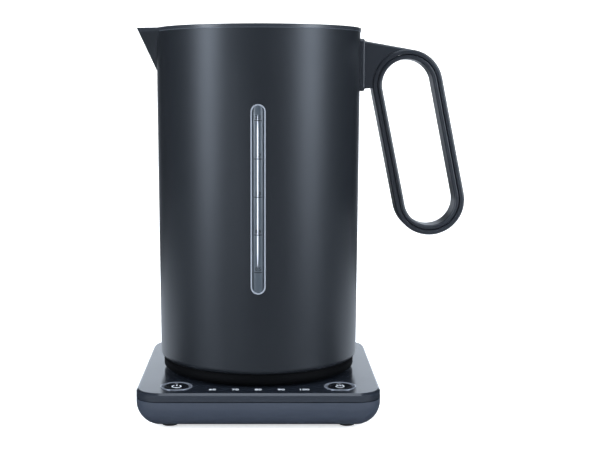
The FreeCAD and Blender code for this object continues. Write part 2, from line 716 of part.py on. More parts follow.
# ---------------------------------------------------------------- rim collar and filter
def top_collar():
    """The dark rim: a flange on the steel edge, a skirt inside it, the hinge block and the beak's lip."""
    skirt_z = STEEL_TOP_Z - COLLAR_SKIRT_DEPTH
    skirt_r = body_r(skirt_z) - BODY_WALL - THREAD_GAP
    flange_z = RIM_Z - COLLAR_FLANGE
    ring = lathe(
        [
            (COLLAR_INNER_R, flange_z),
            (skirt_r - COLLAR_SKIRT, flange_z),
            (skirt_r - COLLAR_SKIRT, skirt_z),
            (skirt_r, skirt_z),
            (skirt_r, STEEL_TOP_Z),
            (BODY_R_TOP + RIM_PROUD, STEEL_TOP_Z),
            (BODY_R_TOP + RIM_PROUD, RIM_Z),
            (COLLAR_INNER_R, RIM_Z),
        ]
    )
    under_flange = block(-200, 0, -100, 100, skirt_z - 5, flange_z)
    ring = ring.cut(spout_cone(SPOUT_WALL).common(under_flange))
    segment = rod(skirt_r - 0.5, HINGE_Z - 8.0, RIM_Z).common(block(HINGE_BLOCK_X, 200, -100, 100, 0, RIM_Z))
    lip = spout_wall().common(block(-200, 0, -100, 100, STEEL_TOP_Z, RIM_Z + SPOUT_RISE))
    collar = fuse([ring, segment, lip] + filter_guides(skirt_r))
    pocket = EAR_WIDTH / 2 + EAR_SIDE_GAP
    cuts = []
    far_x = HINGE_X + EAR_R + 1.0
    for y in (-EAR_CENTRE_Y, EAR_CENTRE_Y):
        cuts.append(block(HINGE_BLOCK_X - 1, far_x, y - pocket, y + pocket, HINGE_Z - 9, RIM_Z + 1))
    cuts.append(rod_y(HINGE_PIN_R, -PIN_HALF_LENGTH, PIN_HALF_LENGTH, HINGE_X, HINGE_Z))
    return collar.cut(cuts)


def filter_x():
    """The filter's inner face, on the chord that its width cuts from the skirt."""
    inner = body_r(STEEL_TOP_Z - COLLAR_SKIRT_DEPTH) - BODY_WALL - THREAD_GAP - COLLAR_SKIRT
    return -math.sqrt(inner**2 - (FILTER_HALF_WIDTH + 1.8) ** 2)


def filter_low():
    return LID_BOTTOM_Z - 1.0 - FILTER_HEIGHT


def filter_guides(skirt_r):
    """Two channels on the skirt that the filter slides down between."""
    guides = []
    x = filter_x()
    low = STEEL_TOP_Z - COLLAR_SKIRT_DEPTH
    high = LID_BOTTOM_Z - 1.0
    round_inside = rod(skirt_r - 0.5, low, high)
    for side in (-1, 1):
        y0, y1 = sorted((side * FILTER_HALF_WIDTH, side * (FILTER_HALF_WIDTH + 4.0)))
        guides.append(block(-skirt_r, x + FILTER_THICKNESS, y0, y1, low, high).common(round_inside))
    return guides


def filter_frame():
    x = filter_x()
    low = filter_low()
    high = low + FILTER_HEIGHT
    frame = block(x, x + FILTER_THICKNESS, -FILTER_HALF_WIDTH, FILTER_HALF_WIDTH, low, high)
    inner = FILTER_HALF_WIDTH - FILTER_FRAME
    sill = low + FILTER_FRAME
    head = high - FILTER_FRAME
    frame = frame.cut(block(x - 1, x + FILTER_THICKNESS + 1, -inner, inner, sill, head))
    bar = block(x, x + FILTER_THICKNESS, -1.0, 1.0, sill, head)
    frame = frame.fuse(bar).removeSplitter()
    return frame.cut(filter_mesh())


def filter_mesh():
    x = filter_x() + (FILTER_THICKNESS - FILTER_MESH) / 2
    inner = FILTER_HALF_WIDTH - FILTER_FRAME + 0.8
    low = filter_low() + FILTER_FRAME - 0.8
    high = filter_low() + FILTER_HEIGHT - FILTER_FRAME + 0.8
    return block(x, x + FILTER_MESH, -inner, inner, low, high)


# ---------------------------------------------------------------- water gauge
def window_prism(width):
    """An upright slot with round ends, through the front wall."""
    middle = (WINDOW_LOW_Z + WINDOW_TOP_Z) / 2
    straight = (WINDOW_TOP_Z - WINDOW_LOW_Z - WINDOW_WIDTH) / 2
    near = -BODY_R_TOP - 10
    far = -BODY_R_BOTTOM + 12
    slot = [block(-width / 2, width / 2, near, far, middle - straight, middle + straight)]
    slot += [rod_y(width / 2, near, far, 0, middle + s * straight) for s in (-1, 1)]
    return fuse(slot)


def window_frame():
    ring = window_prism(WINDOW_WIDTH).cut(window_prism(WINDOW_WIDTH - 2 * WINDOW_FRAME))
    return ring.common(skin(WINDOW_PROUD, 0.0))


def lens_round(radius):
    """A rod along the wall's front line, which rounds the lens's face."""
    low = BODY_Z + BODY_FILLET
    centre_in = LENS_ROUND_R - LENS_PROUD
    a = Vector(0, -(body_r(low) - centre_in), low)
    b = Vector(0, -(body_r(RIM_Z) - centre_in), RIM_Z)
    return Part.makeCylinder(radius, (b - a).Length, a, b - a)


def window_lens():
    pane = window_prism(WINDOW_WIDTH - 2 * WINDOW_FRAME - 0.1)
    pane = pane.common(skin(LENS_PROUD + 1, BODY_WALL + GASKET))
    pane = pane.common(lens_round(LENS_ROUND_R))
    flange = window_prism(FLANGE_WIDTH).common(skin(-BODY_WALL - GASKET, BODY_WALL + GASKET + FLANGE))
    return pane.fuse(flange).removeSplitter()


def window_gasket():
    ring = window_prism(FLANGE_WIDTH).cut(window_prism(WINDOW_WIDTH - 2 * WINDOW_FRAME))
    return ring.common(skin(-BODY_WALL - THREAD_GAP, BODY_WALL + GASKET))


# ---------------------------------------------------------------- handle
def handle_centres():
    tilt = math.radians(HANDLE_TILT)
    top = Vector(HANDLE_TOP_X, 0, HANDLE_TOP_Z)
    low = top + Vector(math.sin(tilt), 0, -math.cos(tilt)) * HANDLE_SPAN
    return top, low


def stadium(radius, depth):
    """A solid loop outline of the given radius round the handle's two end centres."""
    top, low = handle_centres()
    along = (low - top).normalize()
    side = Vector(along.z, 0, -along.x)
    a, b = top + side * radius, low + side * radius
    c, d = low - side * radius, top - side * radius
    edges = [
        Part.LineSegment(a, b).toShape(),
        Part.Arc(b, low + along * radius, c).toShape(),
        Part.LineSegment(c, d).toShape(),
        Part.Arc(d, top - along * radius, a).toShape(),
    ]
    face = Part.Face(Part.Wire(edges))
    face.translate(Vector(0, -depth / 2, 0))
    return face.extrude(Vector(0, depth, 0))


def side_edges(shape, depth):
    """The edges lying in the two flat faces of a loop of this depth."""
    flat = [e for e in shape.Edges if abs(e.BoundBox.YMax - e.BoundBox.YMin) < 1e-4]
    return [e for e in flat if abs(abs(e.BoundBox.YMax) - depth / 2) < 1e-3]


def handle_frame():
    outer = stadium(HANDLE_OUTER_R, HANDLE_DEPTH)
    outer = outer.makeFillet(HANDLE_EDGE_R, side_edges(outer, HANDLE_DEPTH))
    loop = outer.cut(stadium(HANDLE_SPLIT_R, HANDLE_DEPTH + 2))
    return loop.cut([
        rod_x(SCREW_R + THREAD_GAP, SADDLE_X, SADDLE_X + 12.5, 0, z)
        for z in handle_screw_levels()
    ])


def handle_grip():
    outer = stadium(HANDLE_SPLIT_R - GRIP_GAP, GRIP_DEPTH)
    loop = outer.cut(stadium(HANDLE_INNER_R, GRIP_DEPTH + 2))
    edges = side_edges(loop, GRIP_DEPTH)
    return loop.makeFillet(HANDLE_EDGE_R, edges)


def tangent_point(start, centre, radius):
    """Where the upper line from start touches a circle in the XZ plane."""
    reach = centre - start
    distance = math.hypot(reach.x, reach.z)
    lift = math.asin(radius / distance)
    angle = math.atan2(reach.z, reach.x) + lift
    length = math.sqrt(distance**2 - radius**2)
    return start + Vector(math.cos(angle), 0, math.sin(angle)) * length


def handle_bracket():
    """The wedge between the saddle and the loop."""
    top, _ = handle_centres()
    start = Vector(SADDLE_X, 0, BRACKET_TOP_Z)
    touch = tangent_point(start, top, HANDLE_OUTER_R)
    low = Vector(SADDLE_X, 0, BRACKET_LOW_Z)
    heel = Vector(top.x - HANDLE_OUTER_R + 4.0, 0, BRACKET_LOW_Z + 0.6)
    face = Part.Face(Part.makePolygon([start, touch, top, heel, low, start]))
    face.translate(Vector(0, -BRACKET_HALF_WIDTH, 0))
    wedge = face.extrude(Vector(0, 2 * BRACKET_HALF_WIDTH, 0))
    ridge = [e for e in wedge.Edges if e.BoundBox.ZMin > top.z + 5 and e.BoundBox.YLength < 1e-4]
    wedge = wedge.makeFillet(BRACKET_EDGE_R, ridge)
    holes = [rod_x(SCREW_R + THREAD_GAP, SADDLE_X - 1, SADDLE_X + 13.0, 0, z) for z in handle_screw_levels()]
    return wedge.cut([stadium(HANDLE_OUTER_R + 0.02, HANDLE_DEPTH + 4)] + holes)


def handle_saddle():
    low = BRACKET_LOW_Z - SADDLE_BELOW
    high = BRACKET_TOP_Z + SADDLE_ABOVE
    plate = block(BODY_R_TOP - 6, SADDLE_X, -SADDLE_HALF_WIDTH, SADDLE_HALF_WIDTH, low, high)
    upright = [e for e in plate.Edges if abs(e.tangentAt(e.FirstParameter).x) > 0.9]
    plate = plate.makeFillet(3.0, upright)
    outer = [e for e in plate.Edges if e.BoundBox.XMin > SADDLE_X - 1e-4]
    plate = plate.makeFillet(SADDLE_EDGE_R, outer)
    holes = [rod_x(SCREW_R + THREAD_GAP, BODY_R_TOP - 8, SADDLE_X + 1, 0, z) for z in handle_screw_levels()]
    return plate.cut([body_outside(RIM_Z)] + holes)


def handle_screw_levels():
    return (BRACKET_LOW_Z + 7.0, BRACKET_LOW_Z + 18.0)


def handle_screws():
    screws = []
    for z in handle_screw_levels():
        seat = body_r(z) - BODY_WALL - 0.1
        head = rod_x(SCREW_HEAD_R, seat - SCREW_HEAD, seat, 0, z)
        screws.append(head.fuse(rod_x(SCREW_R, seat, SADDLE_X + 6.0, 0, z)))
    return Part.makeCompound(screws)


# ---------------------------------------------------------------- lid
def lid_round(radius, low, high):
    """The lid's outline: a circle whose rear half draws in, so that it clears the rim as it swings up."""
    return rod(radius, low, high).common(rod(radius, low, high, -LID_REAR_RELIEF))


def lid_disc(radius, low, high):
    return lid_round(radius, low, high).common(block(-200, LID_REAR_X, -100, 100, low, high))


def lid_ear(y):
    left = y - EAR_WIDTH / 2
    right = y + EAR_WIDTH / 2
    reach = block(LID_REAR_X - 0.5, HINGE_X, left, right, HINGE_Z - EAR_R, LID_COVER_Z)
    eye = rod_y(EAR_R, left, right, HINGE_X, HINGE_Z)
    return reach.fuse(eye.common(block(0, 200, -100, 100, 0, HINGE_Z + EAR_R)))


def lid_body():
    """The lid's lower half: a shallow cup with a flat back and two hinge ears."""
    cup = lid_disc(LID_WALL_R, LID_BOTTOM_Z, LID_COVER_Z)
    hollow = lid_round(LID_WALL_R - LID_WALL, LID_BOTTOM_Z + LID_WALL, LID_COVER_Z + 1)
    hollow = hollow.common(block(-200, LID_REAR_X - LID_WALL, -100, 100, 0, RIM_Z))
    cup = cup.cut(hollow)
    posts = [rod(3.0, LID_BOTTOM_Z, LID_COVER_Z, x, y) for x, y in lid_screw_positions()]
    floor_z = LID_BOTTOM_Z + LID_WALL
    seats = [
        rod(SPRING_R - SPRING_WIRE - 0.3, floor_z - 0.2, floor_z + 1.5, 0, y)
        for y in (-SPRING_Y, SPRING_Y)
    ]
    rails = [catch_rail(side) for side in (-1, 1)]
    lid = fuse([cup] + seats + posts + rails + [lid_ear(-EAR_CENTRE_Y), lid_ear(EAR_CENTRE_Y)])
    slot_width = CATCH_HALF_WIDTH + 0.4
    slot_top = CATCH_Z + CATCH_THICKNESS + 0.4
    cuts = [block(-LID_R - 5, -LID_WALL_R + 12, -slot_width, slot_width, CATCH_Z - 0.3, LID_COVER_Z)]
    cuts += [
        rod(SCREW_R + THREAD_GAP, LID_BOTTOM_Z - 1, slot_top + 3.0, x, y)
        for x, y in lid_screw_positions()
    ]
    cuts.append(rod_y(HINGE_PIN_R + HINGE_RUNNING, -PIN_HALF_LENGTH, PIN_HALF_LENGTH, HINGE_X, HINGE_Z))
    return lid.cut(cuts)


def catch_rail(side):
    """A guide rail that carries the catch's edge."""
    y0, y1 = sorted((side * (CATCH_HALF_WIDTH - 1.5), side * (CATCH_HALF_WIDTH + 1.5)))
    return block(-LID_WALL_R + 4, -18, y0, y1, LID_BOTTOM_Z + LID_WALL - 0.2, CATCH_Z - 0.05)


def lid_screw_positions():
    return around(LID_WALL_R - 20.0, 3)


def lid_screws():
    screws = []
    for x, y in lid_screw_positions():
        head = rod(SCREW_HEAD_R - 0.4, LID_BOTTOM_Z - 1.2, LID_BOTTOM_Z, x, y)
        screws.append(head.fuse(rod(SCREW_R, LID_BOTTOM_Z, CATCH_Z + CATCH_THICKNESS + 3.0, x, y)))
    return Part.makeCompound(screws)


def lid_cover():
    plate = lid_disc(LID_R, LID_COVER_Z, LID_TOP_Z)
    curved = [e for e in edges_at(plate, LID_TOP_Z) if e.Curve.TypeId == "Part::GeomCircle"]
    plate = plate.makeFillet(LID_EDGE_R, curved)
    return plate.cut(rod(LID_BUTTON_R + BUTTON_GAP, LID_COVER_Z - 1, LID_TOP_Z + 1))


def lid_seal():
    low = LID_BOTTOM_Z + 0.4
    high = low + LID_SEAL_HEIGHT
    return lid_disc(LID_R - 0.2, low, high).cut(lid_round(LID_WALL_R, low - 1, high + 1))


def hinge_pin():
    return rod_y(HINGE_PIN_R, -PIN_HALF_LENGTH, PIN_HALF_LENGTH, HINGE_X, HINGE_Z)


def lid_button():
    """A round push-button with a retaining flange and a wedge that works the catch."""
    top = LID_TOP_Z + LID_BUTTON_RISE
    low = CATCH_Z + CATCH_THICKNESS + LID_BUTTON_TRAVEL + 0.4
    cap = rod(LID_BUTTON_R, low, top)
    cap = cap.makeFillet(1.2, edges_at(cap, top))
    ramp = wedge_drop()
    tip = WEDGE_LEFT + WEDGE_TIP
    corners = [(WEDGE_LEFT, low), (WEDGE_LEFT, low - ramp), (tip, low - ramp), (tip + ramp, low)]
    outline = [Vector(x, -3.0, z) for x, z in corners]
    wedge = Part.Face(Part.makePolygon(outline + outline[:1])).extrude(Vector(0, 6.0, 0))
    return fuse([cap, wedge])


def wedge_drop():
    return LID_BUTTON_TRAVEL + CATCH_THICKNESS


def lid_catch():
    """A sliding plate with a window for the button's wedge and a hook under the collar."""
    tip = -COLLAR_INNER_R - CATCH_BITE
    plate = block(tip, 9.0, -CATCH_HALF_WIDTH, CATCH_HALF_WIDTH, CATCH_Z, CATCH_Z + CATCH_THICKNESS)
    hook_top = RIM_Z - COLLAR_FLANGE - 0.4
    hook = block(tip, tip + 3.0, -CATCH_HALF_WIDTH, CATCH_HALF_WIDTH, CATCH_Z, hook_top)
    wedge_low = CATCH_Z + 0.4
    bearing_x = WEDGE_LEFT + WEDGE_TIP + CATCH_Z + CATCH_THICKNESS - wedge_low + 0.1
    window = block(WEDGE_LEFT - LID_BUTTON_TRAVEL - 0.5, bearing_x, -4.2, 4.2, CATCH_Z - 1, CATCH_Z + 5)
    return plate.fuse(hook).cut(window).removeSplitter()


def lid_button_spring():
    """Two compression springs between the lid's floor and the button, drawn as stacked turns."""
    low = LID_BOTTOM_Z + LID_WALL + SPRING_WIRE
    high = CATCH_Z + CATCH_THICKNESS + LID_BUTTON_TRAVEL + 0.4 - SPRING_WIRE
    pitch = (high - low) / (SPRING_TURNS - 1)
    places = [Vector(0, y, low + i * pitch) for y in (-SPRING_Y, SPRING_Y) for i in range(SPRING_TURNS)]
    return Part.makeCompound([Part.makeTorus(SPRING_R, SPRING_WIRE, place) for place in places])


# ---------------------------------------------------------------- all sub-parts
def all_parts():
    parts = {
        "base_cover": base_cover(),
        "base_shell": base_shell(),
        "base_screws": base_screws(),
        "cord_gland": cord_gland(),
        "power_bezel": bezel(-BUTTON_X),
        "hold_bezel": bezel(BUTTON_X),
        "power_button": base_button(-BUTTON_X),
        "hold_button": base_button(BUTTON_X),
        "control_board": control_board(),
        "tact_switches": tact_switches(),
        "indicator_leds": indicator_leds(),
        "power_board": power_board(),
        "relay": relay(),
        "capacitor": capacitor(),
        "buzzer": buzzer(),
        "connector_housing": connector_housing(),
        "contact_ring_inner": ring_contact(GROOVE_RADII[0]),
        "contact_ring_outer": ring_contact(GROOVE_RADII[1]),
        "contact_centre": centre_contact(),
        "connector_collar": connector_collar(),
        "body_shell": body_shell(),
        "spout": spout(),
        "top_collar": top_collar(),
        "filter_frame": filter_frame(),
        "filter_mesh": filter_mesh(),
        "under_cover": under_cover(),
        "under_screws": under_screws(),
        "heater_plate": heater_plate(),
        "heat_spreader": heat_spreader(),
        "heating_element": heating_element(),
        "thermal_control": thermal_control(),
        "temperature_sensor": temperature_sensor(),
        "connector_socket": connector_socket(),
        "socket_contacts": socket_contacts(),
        "window_frame": window_frame(),
        "window_lens": window_lens(),
        "window_gasket": window_gasket(),
        "handle_frame": handle_frame(),
        "handle_grip": handle_grip(),
        "handle_bracket": handle_bracket(),
        "handle_saddle": handle_saddle(),
        "handle_screws": handle_screws(),
        "hinge_pin": hinge_pin(),
        "lid_body": lid_body(),
        "lid_cover": lid_cover(),
        "lid_seal": lid_seal(),
        "lid_screws": lid_screws(),
        "lid_button": lid_button(),
        "lid_button_spring": lid_button_spring(),
        "lid_catch": lid_catch(),
    }
    for i, x in enumerate(mark_positions()):
        parts[f"led_lens_{i + 1}"] = led_lens(x)
    for i, (x, y) in enumerate(foot_positions()):
        parts[f"foot_{i + 1}"] = foot(x, y)
    return parts


def main():
    os.makedirs("parts", exist_ok=True)
    for name, shape in all_parts().items():
        shape.exportStep(f"parts/{name}.step")
        print(name, "valid" if shape.isValid() else "INVALID", len(shape.Solids), round(shape.Volume, 1))


main()
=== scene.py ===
"""Looks of a cordless electric kettle on its square power base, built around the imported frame.

The frame's nodes keep their shapes. This file dresses each of them with a procedural finish and adds
the fine pieces: printed numerals and scale, button icons, rim bead, woven filter, screws, springs and ribs.
"""

import logging
import math
from dataclasses import dataclass
from enum import Enum
from functools import lru_cache
from typing import Any, Iterable

import bmesh
import bpy
from mathutils import Matrix, Vector


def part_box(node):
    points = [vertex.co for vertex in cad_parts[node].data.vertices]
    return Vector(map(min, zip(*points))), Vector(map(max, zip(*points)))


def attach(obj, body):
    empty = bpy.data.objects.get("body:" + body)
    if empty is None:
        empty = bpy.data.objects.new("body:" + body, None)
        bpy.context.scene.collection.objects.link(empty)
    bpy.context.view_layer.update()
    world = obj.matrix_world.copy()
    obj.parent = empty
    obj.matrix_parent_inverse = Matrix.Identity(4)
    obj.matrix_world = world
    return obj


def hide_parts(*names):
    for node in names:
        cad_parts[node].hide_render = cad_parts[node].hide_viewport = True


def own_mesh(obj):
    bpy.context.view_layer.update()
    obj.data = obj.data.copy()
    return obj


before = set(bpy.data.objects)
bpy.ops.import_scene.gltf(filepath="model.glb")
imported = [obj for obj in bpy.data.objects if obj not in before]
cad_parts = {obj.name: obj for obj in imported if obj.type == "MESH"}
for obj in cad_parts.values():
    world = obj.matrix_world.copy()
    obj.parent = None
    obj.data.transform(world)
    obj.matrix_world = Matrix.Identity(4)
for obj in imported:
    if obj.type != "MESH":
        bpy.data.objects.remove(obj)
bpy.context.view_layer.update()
LOG = logging.getLogger("kettle")
MM = 0.001
SAME_POINT = 1e-7      # vertices nearer than this are merged
CAPITAL_SHARE = 0.7    # a capital's height, of the text's size
STROKE_GAIN = 0.012    # how far printed strokes swell, of a capital's height
TEXT_STEPS = 4         # steps along each curve of a letter

Colour = tuple[float, float, float]
Point = tuple[float, float, float]
Outline = list[tuple[float, float]]


@lru_cache(maxsize=None)
def box(node: str) -> tuple[Vector, Vector]:
    """A node's lowest and highest corners at rest."""
    low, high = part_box(node)
    return Vector(low), Vector(high)


def middle_of(node: str) -> Vector:
    """The middle of a node's box."""
    low, high = box(node)
    return (low + high) / 2


@dataclass(frozen=True)
class BodyTaper:
    """The kettle body's outer skin as a cone, above its rounded foot."""

    low_z: float
    high_r: float
    high_z: float
    low_r: float = 72.1 * MM

    @classmethod
    def from_frame(cls, foot_round: float = 4.0 * MM) -> "BodyTaper":
        """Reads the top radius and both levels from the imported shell."""
        low, high = box("body_shell")
        return cls(low_z=low.z + foot_round, high_r=high.y, high_z=high.z)

    def radius(self, z: float) -> float:
        """The outer radius at a height."""
        share = (z - self.low_z) / (self.high_z - self.low_z)
        return self.low_r + (self.high_r - self.low_r) * share


# ------------------------------------------------------------------ shader arithmetic
class Wire:
    """A shader socket that takes part in Python arithmetic."""

    def __init__(self, graph: "Graph", socket: bpy.types.NodeSocket) -> None:
        """Keeps the socket and the graph that its Math nodes are added to."""
        self.graph = graph
        self.socket = socket

    def _math(self, operation: str, first: Any, second: Any) -> "Wire":
        """Adds one Math node and returns its result."""
        return self.graph.node("ShaderNodeMath", {"operation": operation}, {0: first, 1: second})

    def __add__(self, other: Any) -> "Wire":
        """self + other."""
        return self._math("ADD", self, other)

    __radd__ = __add__

    def __sub__(self, other: Any) -> "Wire":
        """self - other."""
        return self._math("SUBTRACT", self, other)

    def __rsub__(self, other: Any) -> "Wire":
        """other - self."""
        return self._math("SUBTRACT", other, self)

    def __mul__(self, other: Any) -> "Wire":
        """self * other."""
        return self._math("MULTIPLY", self, other)

    __rmul__ = __mul__

    def __lt__(self, other: Any) -> "Wire":
        """1 where self is less than other."""
        return self._math("LESS_THAN", self, other)

    def __gt__(self, other: Any) -> "Wire":
        """1 where self is more than other."""
        return self._math("GREATER_THAN", self, other)

    def hypot(self, other: "Wire") -> "Wire":
        """The length of the vector (self, other)."""
        return self._math("POWER", self * self + other * other, 0.5)

    def sine(self) -> "Wire":
        """The sine of self."""
        return self._math("SINE", self, 0.0)


class Graph:
    """A material's node tree, with one method for every kind of node."""

    def __init__(self, name: str) -> None:
        """Starts a new material with only its output and principled shader.

        Args:
            name: The material's name.
        """
        self.material = bpy.data.materials.new(name)
        self.material.use_nodes = True
        self.tree = self.material.node_tree
        self.shader = self.tree.nodes["Principled BSDF"]

    def node(self, kind: str, settings: dict[str, Any], inputs: dict[Any, Any], output: Any = 0) -> Wire:
        """Adds a node, sets it up and feeds its sockets.

        Args:
            kind: The node's type.
            settings: Attributes that are set before the sockets.
            inputs: Values or wires by socket name or number.
            output: The name or number of the socket that is returned.

        Returns:
            The node's output as a wire.
        """
        made = self.tree.nodes.new(kind)
        for key, value in settings.items():
            setattr(made, key, value)
        for key, value in inputs.items():
            self.feed(made.inputs[key], value)
        return Wire(self, made.outputs[output])

    def feed(self, socket: bpy.types.NodeSocket, value: Any) -> None:
        """Links a wire to a socket, or sets the socket's own value.

        Args:
            socket: The socket that is fed.
            value: A wire, a number, a vector or a colour.
        """
        if isinstance(value, Wire):
            self.tree.links.new(value.socket, socket)
        elif socket.type == "RGBA":
            socket.default_value = (*value, 1.0)
        else:
            socket.default_value = value

    def set(self, **inputs: Any) -> None:
        """Feeds the principled shader, with underscores for the spaces in socket names."""
        for key, value in inputs.items():
            self.feed(self.shader.inputs[key.replace("_", " ")], value)

    def place(self) -> Wire:
        """The point's object coordinates."""
        return self.node("ShaderNodeTexCoord", {}, {}, "Object")

    def split(self, vector: Wire) -> tuple[Wire, Wire, Wire]:
        """A vector's three parts."""
        outputs = self.node("ShaderNodeSeparateXYZ", {}, {0: vector}).socket.node.outputs
        return Wire(self, outputs[0]), Wire(self, outputs[1]), Wire(self, outputs[2])

    def noise(self, place: Wire, scale: float, detail: float, rough: float = 0.5) -> Wire:
        """Smooth noise between 0 and 1."""
        inputs = {"Vector": place, "Scale": scale, "Detail": detail, "Roughness": rough}
        return self.node("ShaderNodeTexNoise", {}, inputs)

    def scaled(self, place: Wire, scale: Point) -> Wire:
        """Object coordinates stretched along each axis."""
        return self.node("ShaderNodeMapping", {}, {"Vector": place, "Scale": scale})

    def blend(self, share: Wire, low: Any, high: Any) -> Wire:
        """A colour between two others."""
        return self.node("ShaderNodeMix", {"data_type": "RGBA"}, {0: share, 6: low, 7: high}, 2)

    def between(self, share: Wire, low: float, high: float) -> Wire:
        """A number between two others."""
        return share * (high - low) + low

    def bump(self, height: Wire, depth: float) -> Wire:
        """A surface normal from a height of 0 to 1 that stands for depth metres."""
        return self.node("ShaderNodeBump", {}, {"Height": height, "Distance": depth}, "Normal")


def shade(colour: Colour, share: float) -> Colour:
    """A colour made lighter or darker."""
    return tuple(part * share for part in colour)


# ------------------------------------------------------------------ finishes
@dataclass(frozen=True)
class Moulded:
    """A moulded or sprayed surface: one colour with faint mottling and a fine grain."""

    colour: Colour
    roughness: float
    metallic: float = 0.0
    grain: float = 2200.0
    depth: float = 0.000012
    mottle: float = 0.06
    specular: float = 0.5
    cloud_scale: float = 38.0
    wander: float = 0.025

    def build(self, name: str) -> bpy.types.Material:
        """Builds the material.

        Args:
            name: The material's name.

        Returns:
            The finished material.
        """
        g = Graph(name)
        place = g.place()
        cloud = g.noise(place, self.cloud_scale, detail=2.0)
        grain = g.noise(place, self.grain, detail=2.0, rough=0.6)
        dark, light = shade(self.colour, 1 - self.mottle), shade(self.colour, 1 + self.mottle)
        g.set(Base_Color=g.blend(cloud, dark, light))
        g.set(Roughness=g.between(cloud, self.roughness - self.wander, self.roughness + self.wander))
        g.set(Metallic=self.metallic, Specular_IOR_Level=self.specular, Normal=g.bump(grain, self.depth))
        return g.material


@dataclass(frozen=True)
class Brushed:
    """Bare metal with fine streaks along one direction, or round the upright axis."""

    colour: Colour
    roughness: float
    streaks: Point = (60.0, 60.0, 2600.0)
    round_axis: bool = False
    dull: float = 0.86
    smoother: float = 0.06
    rougher: float = 0.08
    depth: float = 0.000008

    def build(self, name: str) -> bpy.types.Material:
        """Builds the material.

        Args:
            name: The material's name.

        Returns:
            The finished material.
        """
        g = Graph(name)
        place = g.place()
        if self.round_axis:
            x, y, z = g.split(place)
            place = g.node("ShaderNodeCombineXYZ", {}, {0: x.hypot(y), 2: z})
        streak = g.noise(g.scaled(place, self.streaks), 1.0, detail=3.0)
        g.set(Base_Color=g.blend(streak, shade(self.colour, self.dull), self.colour), Metallic=1.0)
        g.set(Roughness=g.between(streak, self.roughness - self.smoother, self.roughness + self.rougher))
        g.set(Normal=g.bump(streak, self.depth))
        return g.material


@dataclass(frozen=True)
class BodyPaint:
    """Matt slate paint outside and spun bare steel inside, told apart by the distance from the axis."""

    paint: Colour
    steel: Colour
    roughness: float
    metallic: float
    taper: BodyTaper
    skin: float = 0.4 * MM
    depth: float = 0.00001
    mottle: float = 0.05
    fleck_share: float = 0.18
    fleck_light: float = 1.9
    wander: float = 0.02
    steel_dull: float = 0.8
    steel_smooth: float = 0.24
    steel_rough: float = 0.36

    def build(self, name: str) -> bpy.types.Material:
        """Builds the material.

        Args:
            name: The material's name.

        Returns:
            The finished material.
        """
        g = Graph(name)
        place = g.place()
        x, y, z = g.split(place)
        cone = self.taper
        slope = (cone.high_r - cone.low_r) / (cone.high_z - cone.low_z)
        wall = (z - cone.low_z) * slope + cone.low_r
        inside = (x.hypot(y) < wall - self.skin) * (z > cone.low_z)
        cloud = g.noise(place, 26.0, detail=2.0)
        fleck = g.noise(place, 3400.0, detail=2.0, rough=0.7)
        spun = g.noise(g.scaled(place, (8.0, 8.0, 2400.0)), 1.0, detail=3.0)
        paint = g.blend(cloud, shade(self.paint, 1 - self.mottle), shade(self.paint, 1 + self.mottle))
        paint = g.blend(fleck * self.fleck_share, paint, shade(self.paint, self.fleck_light))
        steel = g.blend(spun, shade(self.steel, self.steel_dull), self.steel)
        g.set(Base_Color=g.blend(inside, paint, steel), Metallic=g.between(inside, self.metallic, 1.0))
        painted = g.between(cloud, self.roughness - self.wander, self.roughness + self.wander)
        bare = g.between(spun, self.steel_smooth, self.steel_rough)
        g.set(Roughness=painted * (1 - inside) + bare * inside)
        g.set(Normal=g.bump(fleck * (1 - inside) + spun * inside, self.depth))
        return g.material


@dataclass(frozen=True)
class Turned:
    """Satin metal with fine rings round a centre."""

    colour: Colour
    roughness: float
    metallic: float
    centre: Point
    pitch: float = 0.25 * MM
    dull: float = 0.88
    wander: float = 0.04
    depth: float = 0.000004

    def build(self, name: str) -> bpy.types.Material:
        """Builds the material.

        Args:
            name: The material's name.

        Returns:
            The finished material.
        """
        g = Graph(name)
        place = g.place()
        x, y, _ = g.split(place)
        radius = (x - self.centre[0]).hypot(y - self.centre[1])
        rings = (radius * (math.tau / self.pitch)).sine() * 0.5 + 0.5
        grain = g.noise(place, 900.0, detail=2.0)
        g.set(Base_Color=g.blend(rings * 0.5 + grain * 0.5, shade(self.colour, self.dull), self.colour))
        g.set(Roughness=g.between(grain, self.roughness - self.wander, self.roughness + self.wander))
        g.set(Metallic=self.metallic, Normal=g.bump(rings, self.depth))
        return g.material


@dataclass(frozen=True)
class ClearPane:
    """The gauge's smoky clear plastic, with flow lines along its length."""

    colour: Colour
    roughness: float
    transmission: float
    ior: float = 1.49
    dull: float = 0.85
    wander: float = 0.04

    def build(self, name: str) -> bpy.types.Material:
        """Builds the material.

        Args:
            name: The material's name.

        Returns:
            The finished material.
        """
        g = Graph(name)
        flow = g.noise(g.scaled(g.place(), (700.0, 700.0, 18.0)), 1.0, detail=2.0)
        g.set(Base_Color=g.blend(flow, shade(self.colour, self.dull), self.colour))
        g.set(Roughness=g.between(flow, self.roughness, self.roughness + self.wander))
        g.set(Transmission_Weight=self.transmission, IOR=self.ior)
        return g.material


@dataclass(frozen=True)
class Board:
    """A circuit board: solder mask with faint traces."""

    mask: Colour
    trace: Colour
    roughness: float = 0.35
    cells: float = 260.0
    trace_width: float = 0.06
    depth: float = 0.00003

    def build(self, name: str) -> bpy.types.Material:
        """Builds the material.

        Args:
            name: The material's name.

        Returns:
            The finished material.
        """
        g = Graph(name)
        inputs = {"Vector": g.place(), "Scale": self.cells}
        edge = g.node("ShaderNodeTexVoronoi", {"feature": "DISTANCE_TO_EDGE"}, inputs, "Distance")
        trace = edge < self.trace_width
        g.set(Base_Color=g.blend(trace, self.mask, self.trace), Normal=g.bump(trace, self.depth))
        g.set(Roughness=self.roughness)
        return g.material


